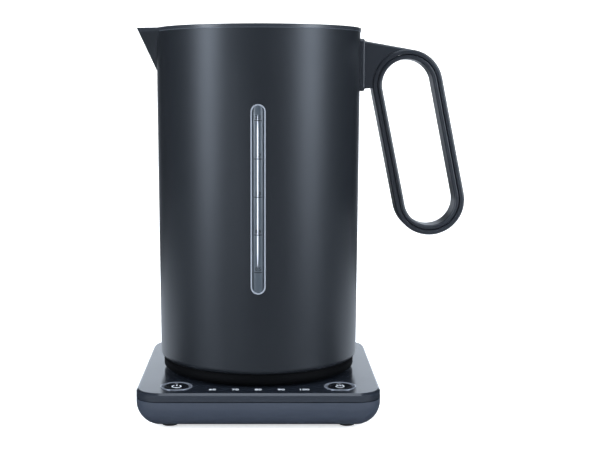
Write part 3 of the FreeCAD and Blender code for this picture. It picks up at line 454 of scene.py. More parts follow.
@dataclass(frozen=True)
class Glow:
    """A milky light guide that glows faintly."""

    colour: Colour
    strength: float
    roughness: float = 0.35
    dull: float = 0.9

    def build(self, name: str) -> bpy.types.Material:
        """Builds the material.

        Args:
            name: The material's name.

        Returns:
            The finished material.
        """
        g = Graph(name)
        milk = g.blend(g.noise(g.place(), 600.0, detail=1.0), shade(self.colour, self.dull), self.colour)
        g.set(Base_Color=milk, Roughness=self.roughness)
        g.set(Emission_Color=milk, Emission_Strength=self.strength)
        return g.material


SLATE: Colour = (0.0085, 0.0105, 0.0135)
SATIN_SLATE: Colour = (0.0095, 0.0118, 0.0165)
BARE_STEEL: Colour = (0.64, 0.64, 0.63)


class Finish(Enum):
    """Every shared finish, with its recipe. The body's needs the frame, so the paintbox works it out."""

    BODY = None
    SPOUT = Moulded(SLATE, 0.42, 0.4, 3400.0, 0.00001)
    LID = Moulded((0.0105, 0.0125, 0.0165), 0.55, 0.0, 3000.0, 0.00002, 0.06, 0.22)
    BASE = Moulded(SATIN_SLATE, 0.2, 0.0, 900.0, 0.000002)
    BASE_LOW = Moulded((0.021, 0.026, 0.037), 0.34, 0.0, 1500.0, 0.000006, 0.06, 0.4)
    BLACK = Moulded((0.006, 0.0065, 0.0075), 0.5, 0.0, 1600.0, 0.00002, 0.06, 0.3)
    RIM = Moulded((0.012, 0.014, 0.018), 0.35, 0.0, 1600.0, 0.00001, 0.06, 0.4)
    HANDLE = Moulded((0.0105, 0.0125, 0.0165), 0.34, 0.0, 1900.0, 0.000012, 0.06, 0.4)
    # A light grey for the gauge's painted highlight line, which stands in for a reflection on the lens.
    LINE = Moulded((0.42, 0.43, 0.47), 0.3, 0.0, 900.0, 0.000002, 0.02)
    # Near-black painted shade: darker than the real plastic, standing for the deep shade under the kettle and
    # in the base's seam.
    UNDERSIDE = Moulded((0.0008, 0.0009, 0.0012), 0.65, 0.0, 1400.0, 0.00002, 0.06, 0.04)
    BUTTON = Moulded((0.004, 0.0045, 0.006), 0.1, 0.0, 1200.0, 0.000001)
    STEEL = Brushed((0.6, 0.6, 0.59), 0.28)
    SPUN = Brushed((0.58, 0.58, 0.57), 0.3, (2400.0, 1.0, 200.0), True)
    ZINC = Brushed((0.55, 0.55, 0.54), 0.35, (900.0, 900.0, 900.0))
    ALUMINIUM = Moulded((0.55, 0.55, 0.56), 0.45, 1.0, 500.0, 0.00008)
    BRASS = Brushed((0.72, 0.52, 0.24), 0.3, (400.0, 400.0, 1200.0))
    BOARD = Board((0.012, 0.09, 0.035), (0.03, 0.16, 0.06))
    BLUE = Moulded((0.02, 0.08, 0.28), 0.3)
    YELLOW = Moulded((0.5, 0.36, 0.03), 0.35)
    CREAM = Moulded((0.5, 0.47, 0.38), 0.5)
    SILICONE = Moulded((0.03, 0.032, 0.035), 0.6, 0.0, 700.0, 0.00002)
    RUBBER = Moulded((0.008, 0.008, 0.009), 0.75, 0.0, 1100.0, 0.00004)
    PANE = ClearPane((0.055, 0.072, 0.09), 0.32, 0.5)
    TRIM = Moulded((0.19, 0.205, 0.23), 0.3, 0.3, 900.0, 0.000004)
    BEAD = Moulded((0.07, 0.08, 0.095), 0.34, 0.5, 900.0, 0.000004)
    GLOW = Glow((0.5, 0.54, 0.6), 0.06)
    LENS = Moulded((0.02, 0.022, 0.027), 0.22, 0.0, 700.0, 0.000002)
    WHITE = Moulded((0.62, 0.64, 0.67), 0.5, 0.0, 2600.0, 0.000004, 0.02)
    DARK = Moulded((0.010, 0.011, 0.013), 0.5, 0.0, 2600.0, 0.000004, 0.02)


NODE_FINISHES: dict[Finish, str] = {
    Finish.SPOUT: "spout",
    Finish.LID: "lid_cover",
    Finish.BASE: "base_cover",
    Finish.BASE_LOW: "base_shell",
    Finish.RIM: "top_collar",
    Finish.ZINC: "base_screws under_screws lid_screws handle_screws",
    Finish.BLACK: "cord_gland tact_switches buzzer connector_housing connector_collar"
    " filter_frame lid_body lid_catch",
    Finish.BUTTON: "power_button hold_button lid_button",
    Finish.BOARD: "control_board power_board",
    Finish.GLOW: "indicator_leds",
    Finish.LENS: "led_lens_1 led_lens_2 led_lens_3 led_lens_4 led_lens_5",
    # The underside and its socket take the painted-shade black.
    Finish.UNDERSIDE: "under_cover connector_socket",
    Finish.BLUE: "relay",
    Finish.YELLOW: "capacitor",
    Finish.BRASS: "contact_ring_inner contact_ring_outer contact_centre socket_contacts",
    Finish.SPUN: "heater_plate",
    Finish.ALUMINIUM: "heat_spreader heating_element",
    Finish.CREAM: "thermal_control",
    Finish.STEEL: "temperature_sensor filter_mesh hinge_pin lid_button_spring",
    Finish.TRIM: "window_frame",
    Finish.PANE: "window_lens",
    Finish.SILICONE: "window_gasket lid_seal",
    Finish.HANDLE: "handle_frame handle_grip handle_bracket handle_saddle",
    Finish.RUBBER: "foot_1 foot_2 foot_3 foot_4",
}


class Slot(Enum):
    """The record's material slot names, passed along with new pieces but not set on them."""

    WHITE = "print_white"
    DARK = "print_dark"
    TRIM = "window_trim"
    STEEL = "stainless"
    ZINC = "zinc_steel"
    BLACK = "black_plastic"
    SLATE = "base_paint"


class Paintbox:
    """Builds each finish once and hands it out."""

    def __init__(self, taper: BodyTaper) -> None:
        """Keeps the body's taper, which parts paint from bare steel."""
        self.made: dict[Finish, bpy.types.Material] = {}
        self.taper = taper

    def get(self, finish: Finish) -> bpy.types.Material:
        """The finish's material, built at its first use.

        Args:
            finish: The finish that is wanted.

        Returns:
            Its material.
        """
        if finish not in self.made:
            self.made[finish] = self.recipe(finish).build(finish.name.lower())
        return self.made[finish]

    def recipe(self, finish: Finish) -> Any:
        """A finish's recipe, with the body's worked out from its taper.

        Args:
            finish: The finish that is wanted.

        Returns:
            The finish class's own object.
        """
        if finish is Finish.BODY:
            return BodyPaint(SLATE, BARE_STEEL, roughness=0.41, metallic=0.4, taper=self.taper)
        return finish.value

    def dress(self, obj: bpy.types.Object, finish: Finish) -> None:
        """Gives an object one finish all over."""
        obj.data.materials.clear()
        obj.data.materials.append(self.get(finish))

    def place(self, obj: bpy.types.Object, finish: Finish, body: str, slot: Slot) -> bpy.types.Object:
        """Dresses a finished piece, rides it on its body and reports it.

        Args:
            obj: The piece, with its place in its mesh.
            finish: Its finish.
            body: The frame's body that it moves with.
            slot: The record's slot that it belongs to; not used.

        Returns:
            The same piece.
        """
        self.dress(obj, finish)
        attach(obj, body)
        LOG.info("made %s on %s: %d faces", obj.name, body, len(obj.data.polygons))
        return obj


# ------------------------------------------------------------------ mesh helpers
def mesh_object(name: str, build: bmesh.types.BMesh, smooth: bool = True) -> bpy.types.Object:
    """Turns a bmesh into an object at the origin.

    Args:
        name: The object's name.
        build: The mesh, which is freed here.
        smooth: Whether its faces are shaded smooth.

    Returns:
        The new object, linked to the scene.
    """
    bmesh.ops.recalc_face_normals(build, faces=build.faces)
    mesh = bpy.data.meshes.new(name)
    build.to_mesh(mesh)
    build.free()
    for polygon in mesh.polygons:
        polygon.use_smooth = smooth
    return linked(name, mesh)


def linked(name: str, data: bpy.types.ID) -> bpy.types.Object:
    """A new object in the scene for some data.

    Args:
        name: The object's name.
        data: Its mesh, curve, light or camera.

    Returns:
        The object.
    """
    obj = bpy.data.objects.new(name, data)
    bpy.context.scene.collection.objects.link(obj)
    return obj


def evaluated_mesh(obj: bpy.types.Object) -> bpy.types.Mesh:
    """The plain mesh that an object's modifiers or curve give.

    Args:
        obj: The object, in the scene.

    Returns:
        A new mesh.
    """
    bpy.context.view_layer.update()
    graph = bpy.context.evaluated_depsgraph_get()
    return bpy.data.meshes.new_from_object(obj.evaluated_get(graph))


def text_mesh(name: str, words: str, height: float, depth: float) -> bpy.types.Object:
    """Flat printed characters as a thin mesh, centred on the origin in the XY plane.

    Args:
        name: The object's name.
        words: The characters.
        height: The height of a capital, in metres.
        depth: The print's thickness, in metres.

    Returns:
        The mesh object.
    """
    curve = bpy.data.curves.new(name, "FONT")
    curve.body = words
    curve.align_x = "CENTER"
    curve.align_y = "CENTER"
    curve.size = height / CAPITAL_SHARE
    curve.extrude = depth / 2
    curve.resolution_u = TEXT_STEPS
    curve.offset = height * STROKE_GAIN
    writing = linked(name, curve)
    mesh = evaluated_mesh(writing)
    bpy.data.objects.remove(writing)
    return linked(name, mesh)


def join(name: str, pieces: list[bpy.types.Object]) -> bpy.types.Object:
    """Joins mesh objects, whose places are in their meshes, into one.

    Args:
        name: The joined object's name.
        pieces: The objects, which are removed here.

    Returns:
        The joined object.
    """
    build = bmesh.new()
    for piece in pieces:
        build.from_mesh(piece.data)
        bpy.data.objects.remove(piece)
    bmesh.ops.remove_doubles(build, verts=build.verts, dist=SAME_POINT)
    return mesh_object(name, build, False)


def bridge(build: bmesh.types.BMesh, rows: list[list[bmesh.types.BMVert]], looped: bool = False) -> None:
    """Joins rings of vertices with faces, one ring to the next.

    Args:
        build: The mesh that the faces are added to.
        rows: The rings, in order, each with as many vertices.
        looped: Whether the last ring joins the first. If not, both ends are closed.
    """
    count = len(rows[0])
    for here, there in zip(rows, rows[1:] + rows[:1] if looped else rows[1:]):
        for k in range(count):
            m = (k + 1) % count
            build.faces.new((here[k], here[m], there[m], there[k]))
    if not looped:
        build.faces.new(rows[0])
        build.faces.new(rows[-1])


def ribbon(build: bmesh.types.BMesh, path: list[Vector], width: float, depth: float) -> None:
    """Adds a flat printed line along an open path in the XY plane.

    Args:
        build: The mesh that the line is added to.
        path: Points along the middle of the line.
        width: The line's width, in metres.
        depth: The line's thickness, in metres.
    """
    rows = []
    for i, point in enumerate(path):
        along = (path[min(i + 1, len(path) - 1)] - path[max(i - 1, 0)]).normalized()
        side = Vector((-along.y, along.x, 0)) * (width / 2)
        corners = [(side, 0.0), (-side, 0.0), (-side, depth), (side, depth)]
        rows.append([build.verts.new(point + offset + Vector((0, 0, up))) for offset, up in corners])
    bridge(build, rows)


def arc_points(radius: float, start: float, end: float, count: int, lift: float = 0.0) -> list[Vector]:
    """Points on an arc in the XY plane, from start to end in degrees, round (0, lift)."""
    turns = [math.radians(start + (end - start) * i / count) for i in range(count + 1)]
    return [Vector((radius * math.cos(t), lift + radius * math.sin(t), 0)) for t in turns]


def turned(
    build: bmesh.types.BMesh, outline: Outline, level: float, steps: int, open_at: float = 0.0
) -> None:
    """Adds a closed outline of (radius, height) points turned round the kettle's axis.

    Args:
        build: The mesh that it is added to.
        outline: The outline's points, in metres.
        level: The height that the outline's heights are counted from.
        steps: The number of steps round the axis.
        open_at: Half the angle, in degrees, of the gap left round the -X direction.
    """
    span = 360.0 - 2 * open_at
    rows = []
    for i in range(steps + (1 if open_at else 0)):
        turn = math.radians(-180 + open_at + span * i / steps)
        c, s = math.cos(turn), math.sin(turn)
        rows.append([build.verts.new((r * c, r * s, level + z)) for r, z in outline])
    bridge(build, rows, looped=not open_at)


# ------------------------------------------------------------------ geometry nodes
class Kind(Enum):
    """The kinds of input that the trees take."""

    FLOAT = "NodeSocketFloat"
    INTEGER = "NodeSocketInt"
    VECTOR = "NodeSocketVector"
    OBJECT = "NodeSocketObject"


class Recipe:
    """A Geometry Nodes tree with named inputs that ends in Realize Instances and Set Material."""

    def __init__(self, name: str, inputs: dict[str, tuple[Kind, Any]]) -> None:
        """Starts a tree.

        Args:
            name: The tree's name.
            inputs: Each input's kind of socket and its value, by name.
        """
        self.tree = bpy.data.node_groups.new(name, "GeometryNodeTree")
        self.values: dict[str, Any] = {}
        face = self.tree.interface
        face.new_socket("Geometry", in_out="INPUT", socket_type="NodeSocketGeometry")
        for key, (kind, value) in inputs.items():
            item = face.new_socket(key, in_out="INPUT", socket_type=kind.value)
            self.values[item.identifier] = value
        face.new_socket("Geometry", in_out="OUTPUT", socket_type="NodeSocketGeometry")
        self.start = self.tree.nodes.new("NodeGroupInput")
        self.end = self.tree.nodes.new("NodeGroupOutput")

    def given(self, name: str) -> bpy.types.NodeSocket:
        """One of the tree's inputs."""
        return self.start.outputs[name]

    def node(
        self, kind: str, settings: dict[str, Any], inputs: dict[Any, Any], output: Any = 0
    ) -> bpy.types.NodeSocket:
        """Adds a node, sets it up and feeds its sockets.

        Args:
            kind: The node's type.
            settings: Attributes that are set before the sockets.
            inputs: Values or sockets by socket name or number.
            output: The name or number of the socket that is returned.

        Returns:
            One of the node's outputs.
        """
        made = self.tree.nodes.new(kind)
        for key, value in settings.items():
            setattr(made, key, value)
        for key, value in inputs.items():
            if isinstance(value, bpy.types.NodeSocket):
                self.tree.links.new(value, made.inputs[key])
            else:
                made.inputs[key].default_value = value
        return made.outputs[output]

    def math(self, operation: str, *values: Any) -> bpy.types.NodeSocket:
        """A sum on numbers."""
        return self.node("ShaderNodeMath", {"operation": operation}, dict(enumerate(values)))

    def vector(self, x: Any = 0.0, y: Any = 0.0, z: Any = 0.0) -> bpy.types.NodeSocket:
        """A vector from three numbers."""
        return self.node("ShaderNodeCombineXYZ", {}, {0: x, 1: y, 2: z})

    def make(
        self, name: str, shape: bpy.types.NodeSocket, finish: bpy.types.Material, host: bpy.types.Mesh
    ) -> bpy.types.Object:
        """Closes the tree, runs it on a mesh and keeps the result as a plain mesh.

        Args:
            name: The piece's name.
            shape: The geometry that the tree has made.
            finish: The material that it is given.
            host: The mesh that the tree starts from.

        Returns:
            The piece, without its modifier.
        """
        real = self.node("GeometryNodeRealizeInstances", {}, {"Geometry": shape})
        painted = self.node("GeometryNodeSetMaterial", {}, {"Geometry": real, "Material": finish})
        self.tree.links.new(painted, self.end.inputs[0])
        obj = linked(name, host)
        modifier = obj.modifiers.new(name, "NODES")
        modifier.node_group = self.tree
        for identifier, value in self.values.items():
            modifier[identifier] = value
        mesh = evaluated_mesh(obj)
        obj.modifiers.remove(modifier)
        obj.data = mesh
        return obj


def points_mesh(name: str, places: Iterable[Point]) -> bpy.types.Mesh:
    """A mesh of loose points, on which a tree sets its copies.

    Args:
        name: The mesh's name.
        places: The points.

    Returns:
        The mesh.
    """
    mesh = bpy.data.meshes.new(name)
    mesh.from_pydata([tuple(place) for place in places], [], [])
    return mesh


@dataclass
class ScrewSet:
    """Cross-recessed screws that stand for one of the frame's groups of screws."""

    paint: Paintbox
    node: str
    body: str
    places: list[Point]
    head_r: float
    head_height: float
    shank_r: float
    length: float
    turn: Point = (0.0, 0.0, 0.0)
    steps: int = 48
    crown_r: float = 0.86
    crown_low: float = 0.6
    recess_arm: float = 0.62
    recess_width: float = 0.2
    recess_depth: float = 0.55
    recess_floor: float = 0.7
    recess_lip: float = 0.97
    thread_pitch: float = 1.1 * MM
    thread_depth: float = 0.22 * MM
    tip_r: float = 0.8
    tip_length: float = 0.7
    axis_r: float = 0.001 * MM
    merge: float = 0.01 * MM

    def cross(self, turn: float) -> float:
        """The recess's reach from the screw's axis in one direction.

        Args:
            turn: The direction's angle, in radians.

        Returns:
            The reach, in metres.
        """
        nearest = (turn + math.pi / 4) % (math.pi / 2) - math.pi / 4
        arm = self.head_r * self.recess_arm / math.cos(nearest)
        side = self.head_r * self.recess_width / max(abs(math.sin(nearest)), 1e-6)
        return min(arm, side)

    def template(self) -> bpy.types.Object:
        """One screw on the Z axis, with its head's bearing face at height 0 and its tip upwards.

        Returns:
            The screw.
        """
        build = bmesh.new()
        floor = -self.head_height * (1 - self.recess_depth)
        rings = [(lambda t: self.axis_r, floor), (lambda t: self.cross(t) * self.recess_floor, floor)]
        rings.append((self.cross, -self.head_height * self.recess_lip))
        profile = [(self.head_r * self.crown_r, -self.head_height)]
        profile.append((self.head_r, -self.head_height * self.crown_low))
        profile += [(self.head_r, 0.0), (self.shank_r, 0.0)]
        z = self.thread_pitch / 2
        while z < self.length - self.shank_r:
            profile += [(self.shank_r, z), (self.shank_r - self.thread_depth, z + self.thread_pitch / 2)]
            z += self.thread_pitch
        profile.append((self.shank_r * self.tip_r, self.length - self.shank_r * self.tip_length))
        profile.append((self.axis_r, self.length))
        rings += [(lambda t, r=r: r, z) for r, z in profile]
        rows = []
        turns = [math.tau * i / self.steps for i in range(self.steps)]
        for reach, z in rings:
            rows.append([build.verts.new((reach(t) * math.cos(t), reach(t) * math.sin(t), z)) for t in turns])
        bridge(build, rows)
        bmesh.ops.remove_doubles(build, verts=build.verts, dist=self.merge)
        return mesh_object("screw_template", build, False)

    def build(self) -> None:
        """Sets a screw at each place."""
        one = self.template()
        tree = Recipe("screws", {"Screw": (Kind.OBJECT, one), "Turn": (Kind.VECTOR, self.turn)})
        screw = tree.node("GeometryNodeObjectInfo", {}, {"Object": tree.given("Screw")}, "Geometry")
        inputs = {"Points": tree.given("Geometry"), "Instance": screw, "Rotation": tree.given("Turn")}
        copies = tree.node("GeometryNodeInstanceOnPoints", {}, inputs)
        host = points_mesh("screw_places", self.places)
        piece = tree.make(f"cross_{self.node}", copies, self.paint.get(Finish.ZINC), host)
        bpy.data.objects.remove(one)
        self.paint.place(piece, Finish.ZINC, self.body, Slot.ZINC)
        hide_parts(self.node)


@dataclass
class WovenFilter:
    """The scale filter's woven wire cloth, in place of the frame's plain sheet."""

    paint: Paintbox
    pitch: float = 1.1 * MM
    wire_r: float = 0.16 * MM
    weave: float = 0.17 * MM
    steps: int = 4
    sides: int = 6

    def wires(self, tree: Recipe, length: str, spread: str, upright: bool) -> bpy.types.NodeSocket:
        """One direction's wires: a waved wire, repeated with every second one turned over.

        Args:
            tree: The tree that the nodes are added to.
            length: The name of the input with the wires' length.
            spread: The name of the input with the width that they fill.
            upright: Whether the wires run along Z and not along Y.

        Returns:
            The wires' geometry, centred on the origin in the YZ plane.
        """
        half = tree.math("MULTIPLY", tree.given(length), 0.5)
        less = tree.math("MULTIPLY", half, -1.0)
        ends = [tree.vector(z=v) if upright else tree.vector(y=v) for v in (less, half)]
        run = tree.node("GeometryNodeCurvePrimitiveLine", {}, {"Start": ends[0], "End": ends[1]})
        step = tree.math("DIVIDE", tree.given("Pitch"), float(self.steps))
        inputs = {"Curve": run, "Length": step}
        run = tree.node("GeometryNodeResampleCurve", {"mode": "LENGTH"}, inputs)
        place = tree.node("GeometryNodeInputPosition", {}, {})
        along = tree.node("ShaderNodeSeparateXYZ", {}, {0: place}, 2 if upright else 1)
        phase = tree.math("MULTIPLY", tree.math("DIVIDE", along, tree.given("Pitch")), math.pi)
        wave = tree.math("MULTIPLY", tree.math("SINE", phase), tree.given("Weave"))
        if upright:
            wave = tree.math("MULTIPLY", wave, -1.0)
        run = tree.node("GeometryNodeSetPosition", {}, {"Geometry": run, "Offset": tree.vector(x=wave)})
        inputs = {"Resolution": self.sides, "Radius": tree.given("Wire")}
        ring = tree.node("GeometryNodeCurvePrimitiveCircle", {}, inputs)
        inputs = {"Curve": run, "Profile Curve": ring, "Fill Caps": True}
        wire = tree.node("GeometryNodeCurveToMesh", {}, inputs)
        count = tree.math("FLOOR", tree.math("DIVIDE", tree.given(spread), tree.given("Pitch")))
        reach = tree.math("MULTIPLY", tree.math("SUBTRACT", count, 1.0), tree.given("Pitch"))
        first = tree.math("MULTIPLY", reach, -0.5)
        pitch = tree.given("Pitch")
        across = "y" if upright else "z"
        start, offset = tree.vector(**{across: first}), tree.vector(**{across: pitch})
        inputs = {"Count": count, "Start Location": start, "Offset": offset}
        row = tree.node("GeometryNodeMeshLine", {"mode": "OFFSET"}, inputs)
        index = tree.node("GeometryNodeInputIndex", {}, {})
        over = tree.math("MULTIPLY", tree.math("MODULO", index, 2.0), math.pi)
        spin = tree.vector(z=over) if upright else tree.vector(y=over)
        inputs = {"Points": row, "Instance": wire, "Rotation": spin}
        return tree.node("GeometryNodeInstanceOnPoints", {}, inputs)

    def build(self) -> None:
        """Weaves the cloth in the sheet's place."""
        low, high = box("filter_mesh")
        size = high - low
        inputs = {"Width": (Kind.FLOAT, size.y), "Height": (Kind.FLOAT, size.z)}
        inputs["Pitch"] = (Kind.FLOAT, self.pitch)
        inputs.update({"Wire": (Kind.FLOAT, self.wire_r), "Weave": (Kind.FLOAT, self.weave)})
        inputs["Centre"] = (Kind.VECTOR, tuple((low + high) / 2))
        tree = Recipe("woven_wire", inputs)
        across = self.wires(tree, "Width", "Height", False)
        upright = self.wires(tree, "Height", "Width", True)
        joint = tree.tree.nodes.new("GeometryNodeJoinGeometry")
        for wires in (across, upright):
            tree.tree.links.new(wires, joint.inputs[0])
        moved = {"Geometry": joint.outputs[0], "Translation": tree.given("Centre")}
        cloth = tree.node("GeometryNodeTransform", {}, moved)
        host = points_mesh("filter_place", [(0.0, 0.0, 0.0)])
        piece = tree.make("woven_filter", cloth, self.paint.get(Finish.STEEL), host)
        for polygon in piece.data.polygons:
            polygon.use_smooth = True
        self.paint.place(piece, Finish.STEEL, "kettle", Slot.STEEL)
        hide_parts("filter_mesh")


@dataclass
class RibRow:
    """A straight row of rounded ribs or bars, set on a flat face."""

    paint: Paintbox
    name: str
    body: str
    centre: Point
    count: int
    pitch: float
    length: float
    radius: float
    finish: Finish
    slot: Slot
    sides: int = 12

    def build(self) -> None:
        """Repeats one round bar along X."""
        inputs = {"Count": (Kind.INTEGER, self.count), "Pitch": (Kind.FLOAT, self.pitch)}
        inputs.update({"Length": (Kind.FLOAT, self.length), "Radius": (Kind.FLOAT, self.radius)})
        inputs["Centre"] = (Kind.VECTOR, self.centre)
        tree = Recipe("rib_row", inputs)
        half = tree.math("MULTIPLY", tree.given("Length"), 0.5)
        less = tree.math("MULTIPLY", half, -1.0)
        inputs = {"Start": tree.vector(y=less), "End": tree.vector(y=half)}
        run = tree.node("GeometryNodeCurvePrimitiveLine", {}, inputs)
        inputs = {"Resolution": self.sides, "Radius": tree.given("Radius")}
        ring = tree.node("GeometryNodeCurvePrimitiveCircle", {}, inputs)
        inputs = {"Curve": run, "Profile Curve": ring, "Fill Caps": True}
        bar = tree.node("GeometryNodeCurveToMesh", {}, inputs)
        last = tree.math("SUBTRACT", tree.given("Count"), 1.0)
        first = tree.math("MULTIPLY", tree.math("MULTIPLY", last, tree.given("Pitch")), -0.5)
        inputs = {"Count": tree.given("Count"), "Start Location": tree.vector(x=first)}
        inputs["Offset"] = tree.vector(x=tree.given("Pitch"))
        row = tree.node("GeometryNodeMeshLine", {"mode": "OFFSET"}, inputs)
        bars = tree.node("GeometryNodeInstanceOnPoints", {}, {"Points": row, "Instance": bar})
        inputs = {"Geometry": bars, "Translation": tree.given("Centre")}
        moved = tree.node("GeometryNodeTransform", {}, inputs)
        host = points_mesh("rib_place", [(0.0, 0.0, 0.0)])
        piece = tree.make(self.name, moved, self.paint.get(self.finish), host)
        self.paint.place(piece, self.finish, self.body, self.slot)


@dataclass
class RibRing:
    """Radial ribs in a ring under the kettle, in the near-black of painted shade."""

    paint: Paintbox
    count: int = 24
    inner_r: float = 33.0 * MM
    outer_r: float = 45.0 * MM
    width: float = 1.2 * MM
    height: float = 1.0 * MM
    plate_drop: float = 2.5 * MM
    sunk: float = 0.1 * MM

    def build(self) -> None:
        """Sets the ribs on the underside's flat face, which lies a little below the body's foot."""
        plate = box("body_shell")[0].z - self.plate_drop
        middle = (self.inner_r + self.outer_r) / 2
        inputs = {"Count": (Kind.INTEGER, self.count), "Middle": (Kind.FLOAT, middle)}
        inputs["Size"] = (Kind.VECTOR, (self.outer_r - self.inner_r, self.width, self.height))
        inputs["Level"] = (Kind.FLOAT, plate - self.height / 2 + self.sunk)
        tree = Recipe("rib_ring", inputs)
        bar = tree.node("GeometryNodeMeshCube", {}, {"Size": tree.given("Size")})
        inputs = {"Vertices": tree.given("Count"), "Radius": tree.given("Middle")}
        ring = tree.node("GeometryNodeMeshCircle", {}, inputs)
        index = tree.node("GeometryNodeInputIndex", {}, {})
        turn = tree.math("DIVIDE", tree.math("MULTIPLY", index, math.tau), tree.given("Count"))
        inputs = {"Points": ring, "Instance": bar, "Rotation": tree.vector(z=turn)}
        ribs = tree.node("GeometryNodeInstanceOnPoints", {}, inputs)
        lifted = tree.vector(z=tree.given("Level"))
        moved = tree.node("GeometryNodeTransform", {}, {"Geometry": ribs, "Translation": lifted})
        host = points_mesh("rib_ring_place", [(0.0, 0.0, 0.0)])
        piece = tree.make("underside_ribs", moved, self.paint.get(Finish.UNDERSIDE), host)
        self.paint.place(piece, Finish.UNDERSIDE, "kettle", Slot.BLACK)


# ------------------------------------------------------------------ sub-assemblies
@dataclass
class BaseControls:
    """Printed numerals and the two buttons' icons on the power base."""

    paint: Paintbox
    temperatures: tuple[int, ...] = (60, 70, 80, 90, 100)
    numeral_height: float = 3.5 * MM
    numeral_drop: float = 6.3 * MM
    print_depth: float = 0.08 * MM
    icon_radius: float = 3.1 * MM
    icon_line: float = 0.75 * MM
    dish_depth: float = 0.5 * MM
    bezel_colour: Colour = (0.26, 0.28, 0.32)
    bezel_roughness: float = 0.26
    bezel_metallic: float = 0.55
    ring_span: tuple[float, float] = (125.0, 415.0)
    bar_span: tuple[float, float] = (0.35, 1.35)
    cup_r: float = 0.8
    cup_line: float = 0.9
    cup_sunk: float = 0.1
    steam_at: tuple[float, ...] = (-0.5, 0.1, 0.7)
    steam_foot: float = 0.35
    steam_sway: float = 0.16
    steam_line: float = 0.7
    steam_steps: int = 10

    def build(self) -> None:
        """Makes and places every printed mark and dresses the bezels."""
        self.bezels()
        self.numerals()
        self.power_icon()
        self.warm_icon()

    def bezels(self) -> None:
        """Turned satin metal on each bezel, with its rings round its own centre."""
        for name in ("power_bezel", "hold_bezel"):
            centre = tuple(middle_of(name))
            recipe = Turned(self.bezel_colour, self.bezel_roughness, self.bezel_metallic, centre)
            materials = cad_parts[name].data.materials
            materials.clear()
            materials.append(recipe.build(name))

    def numerals(self) -> None:
        """One number in front of each indicator."""
        pieces = []
        for i, degrees in enumerate(self.temperatures):
            lens = f"led_lens_{i + 1}"
            number = text_mesh(f"numeral_{degrees}", str(degrees), self.numeral_height, self.print_depth)
            middle = middle_of(lens)
            level = box(lens)[1].z + self.print_depth / 2
            number.data.transform(Matrix.Translation((middle.x, middle.y - self.numeral_drop, level)))
            pieces.append(number)
        self.paint.place(join("temperature_numerals", pieces), Finish.WHITE, "base", Slot.WHITE)

    def power_icon(self) -> None:
        """An open ring with a bar, on the left button."""
        build = bmesh.new()
        ribbon(build, arc_points(self.icon_radius, *self.ring_span, 36), self.icon_line, self.print_depth)
        bar = [Vector((0, self.icon_radius * share, 0)) for share in self.bar_span]
        ribbon(build, bar, self.icon_line, self.print_depth)
        self.put_icon(build, "power_icon", "power_button")

    def warm_icon(self) -> None:
        """A cup with rising steam, on the right button."""
        r = self.icon_radius
        build = bmesh.new()
        bowl = arc_points(r * self.cup_r, 180, 360, 14, -r * self.cup_sunk)
        cup = [Vector((-r, 0, 0)), *bowl, Vector((r, 0, 0))]
        ribbon(build, cup, self.icon_line * self.cup_line, self.print_depth)
        steps = [i / self.steam_steps for i in range(self.steam_steps + 1)]
        for share in self.steam_at:
            sway = [share * r + self.steam_sway * r * math.sin(t * math.tau) for t in steps]
            wave = [Vector((x, r * (self.steam_foot + t), 0)) for x, t in zip(sway, steps)]
            ribbon(build, wave, self.icon_line * self.steam_line, self.print_depth)
        self.put_icon(build, "keep_warm_icon", "hold_button")

    def put_icon(self, build: bmesh.types.BMesh, name: str, node: str) -> None:
        """Lays an icon on its button's dished face, and rides it on the button.

        Args:
            build: The icon's mesh, drawn round the origin.
            name: The piece's name.
            node: The button, which is a node and a body of the same name.
        """
        piece = mesh_object(name, build, False)
        middle = middle_of(node)
        level = box(node)[1].z - self.dish_depth
        piece.data.transform(Matrix.Translation((middle.x, middle.y, level)))
        self.paint.place(piece, Finish.WHITE, node, Slot.WHITE)


@dataclass
class BaseSeam:
    """A near-black strip deep in the groove between the base's cover and its shell: painted shade along the
    parting line.
    """

    paint: Paintbox
    corner: float = 17.0 * MM
    sunk: float = 0.16 * MM
    height: float = 0.62 * MM
    wall: float = 0.5 * MM
    steps: int = 12

    def outline(self, half: float, corner: float) -> Outline:
        """A rounded square's points, as many for any size.

        Args:
            half: Half the square's side.
            corner: The corners' radius.

        Returns:
            The points, in order.
        """
        points = []
        for quarter in range(4):
            turn = quarter * math.pi / 2
            reach = half - corner
            cx = reach * math.cos(turn) - reach * math.sin(turn)
            cy = reach * math.sin(turn) + reach * math.cos(turn)
            for i in range(self.steps + 1):
                t = turn + math.pi / 2 * i / self.steps
                points.append((cx + corner * math.cos(t), cy + corner * math.sin(t)))
        return points

    def build(self) -> None:
        """Runs the strip round the base."""
        half = box("base_shell")[1].x - self.sunk
        level = box("base_shell")[1].z
        outer = self.outline(half, self.corner - self.sunk)
        inner = self.outline(half - self.wall, self.corner - self.sunk - self.wall)
        z = self.height / 2
        build = bmesh.new()
        rings = [(outer, level - z), (outer, level + z), (inner, level + z), (inner, level - z)]
        rows = [[build.verts.new((x, y, up)) for x, y in ring] for ring, up in rings]
        bridge(build, rows, looped=True)
        piece = mesh_object("base_seam_line", build, False)
        self.paint.place(piece, Finish.UNDERSIDE, "base", Slot.BLACK)


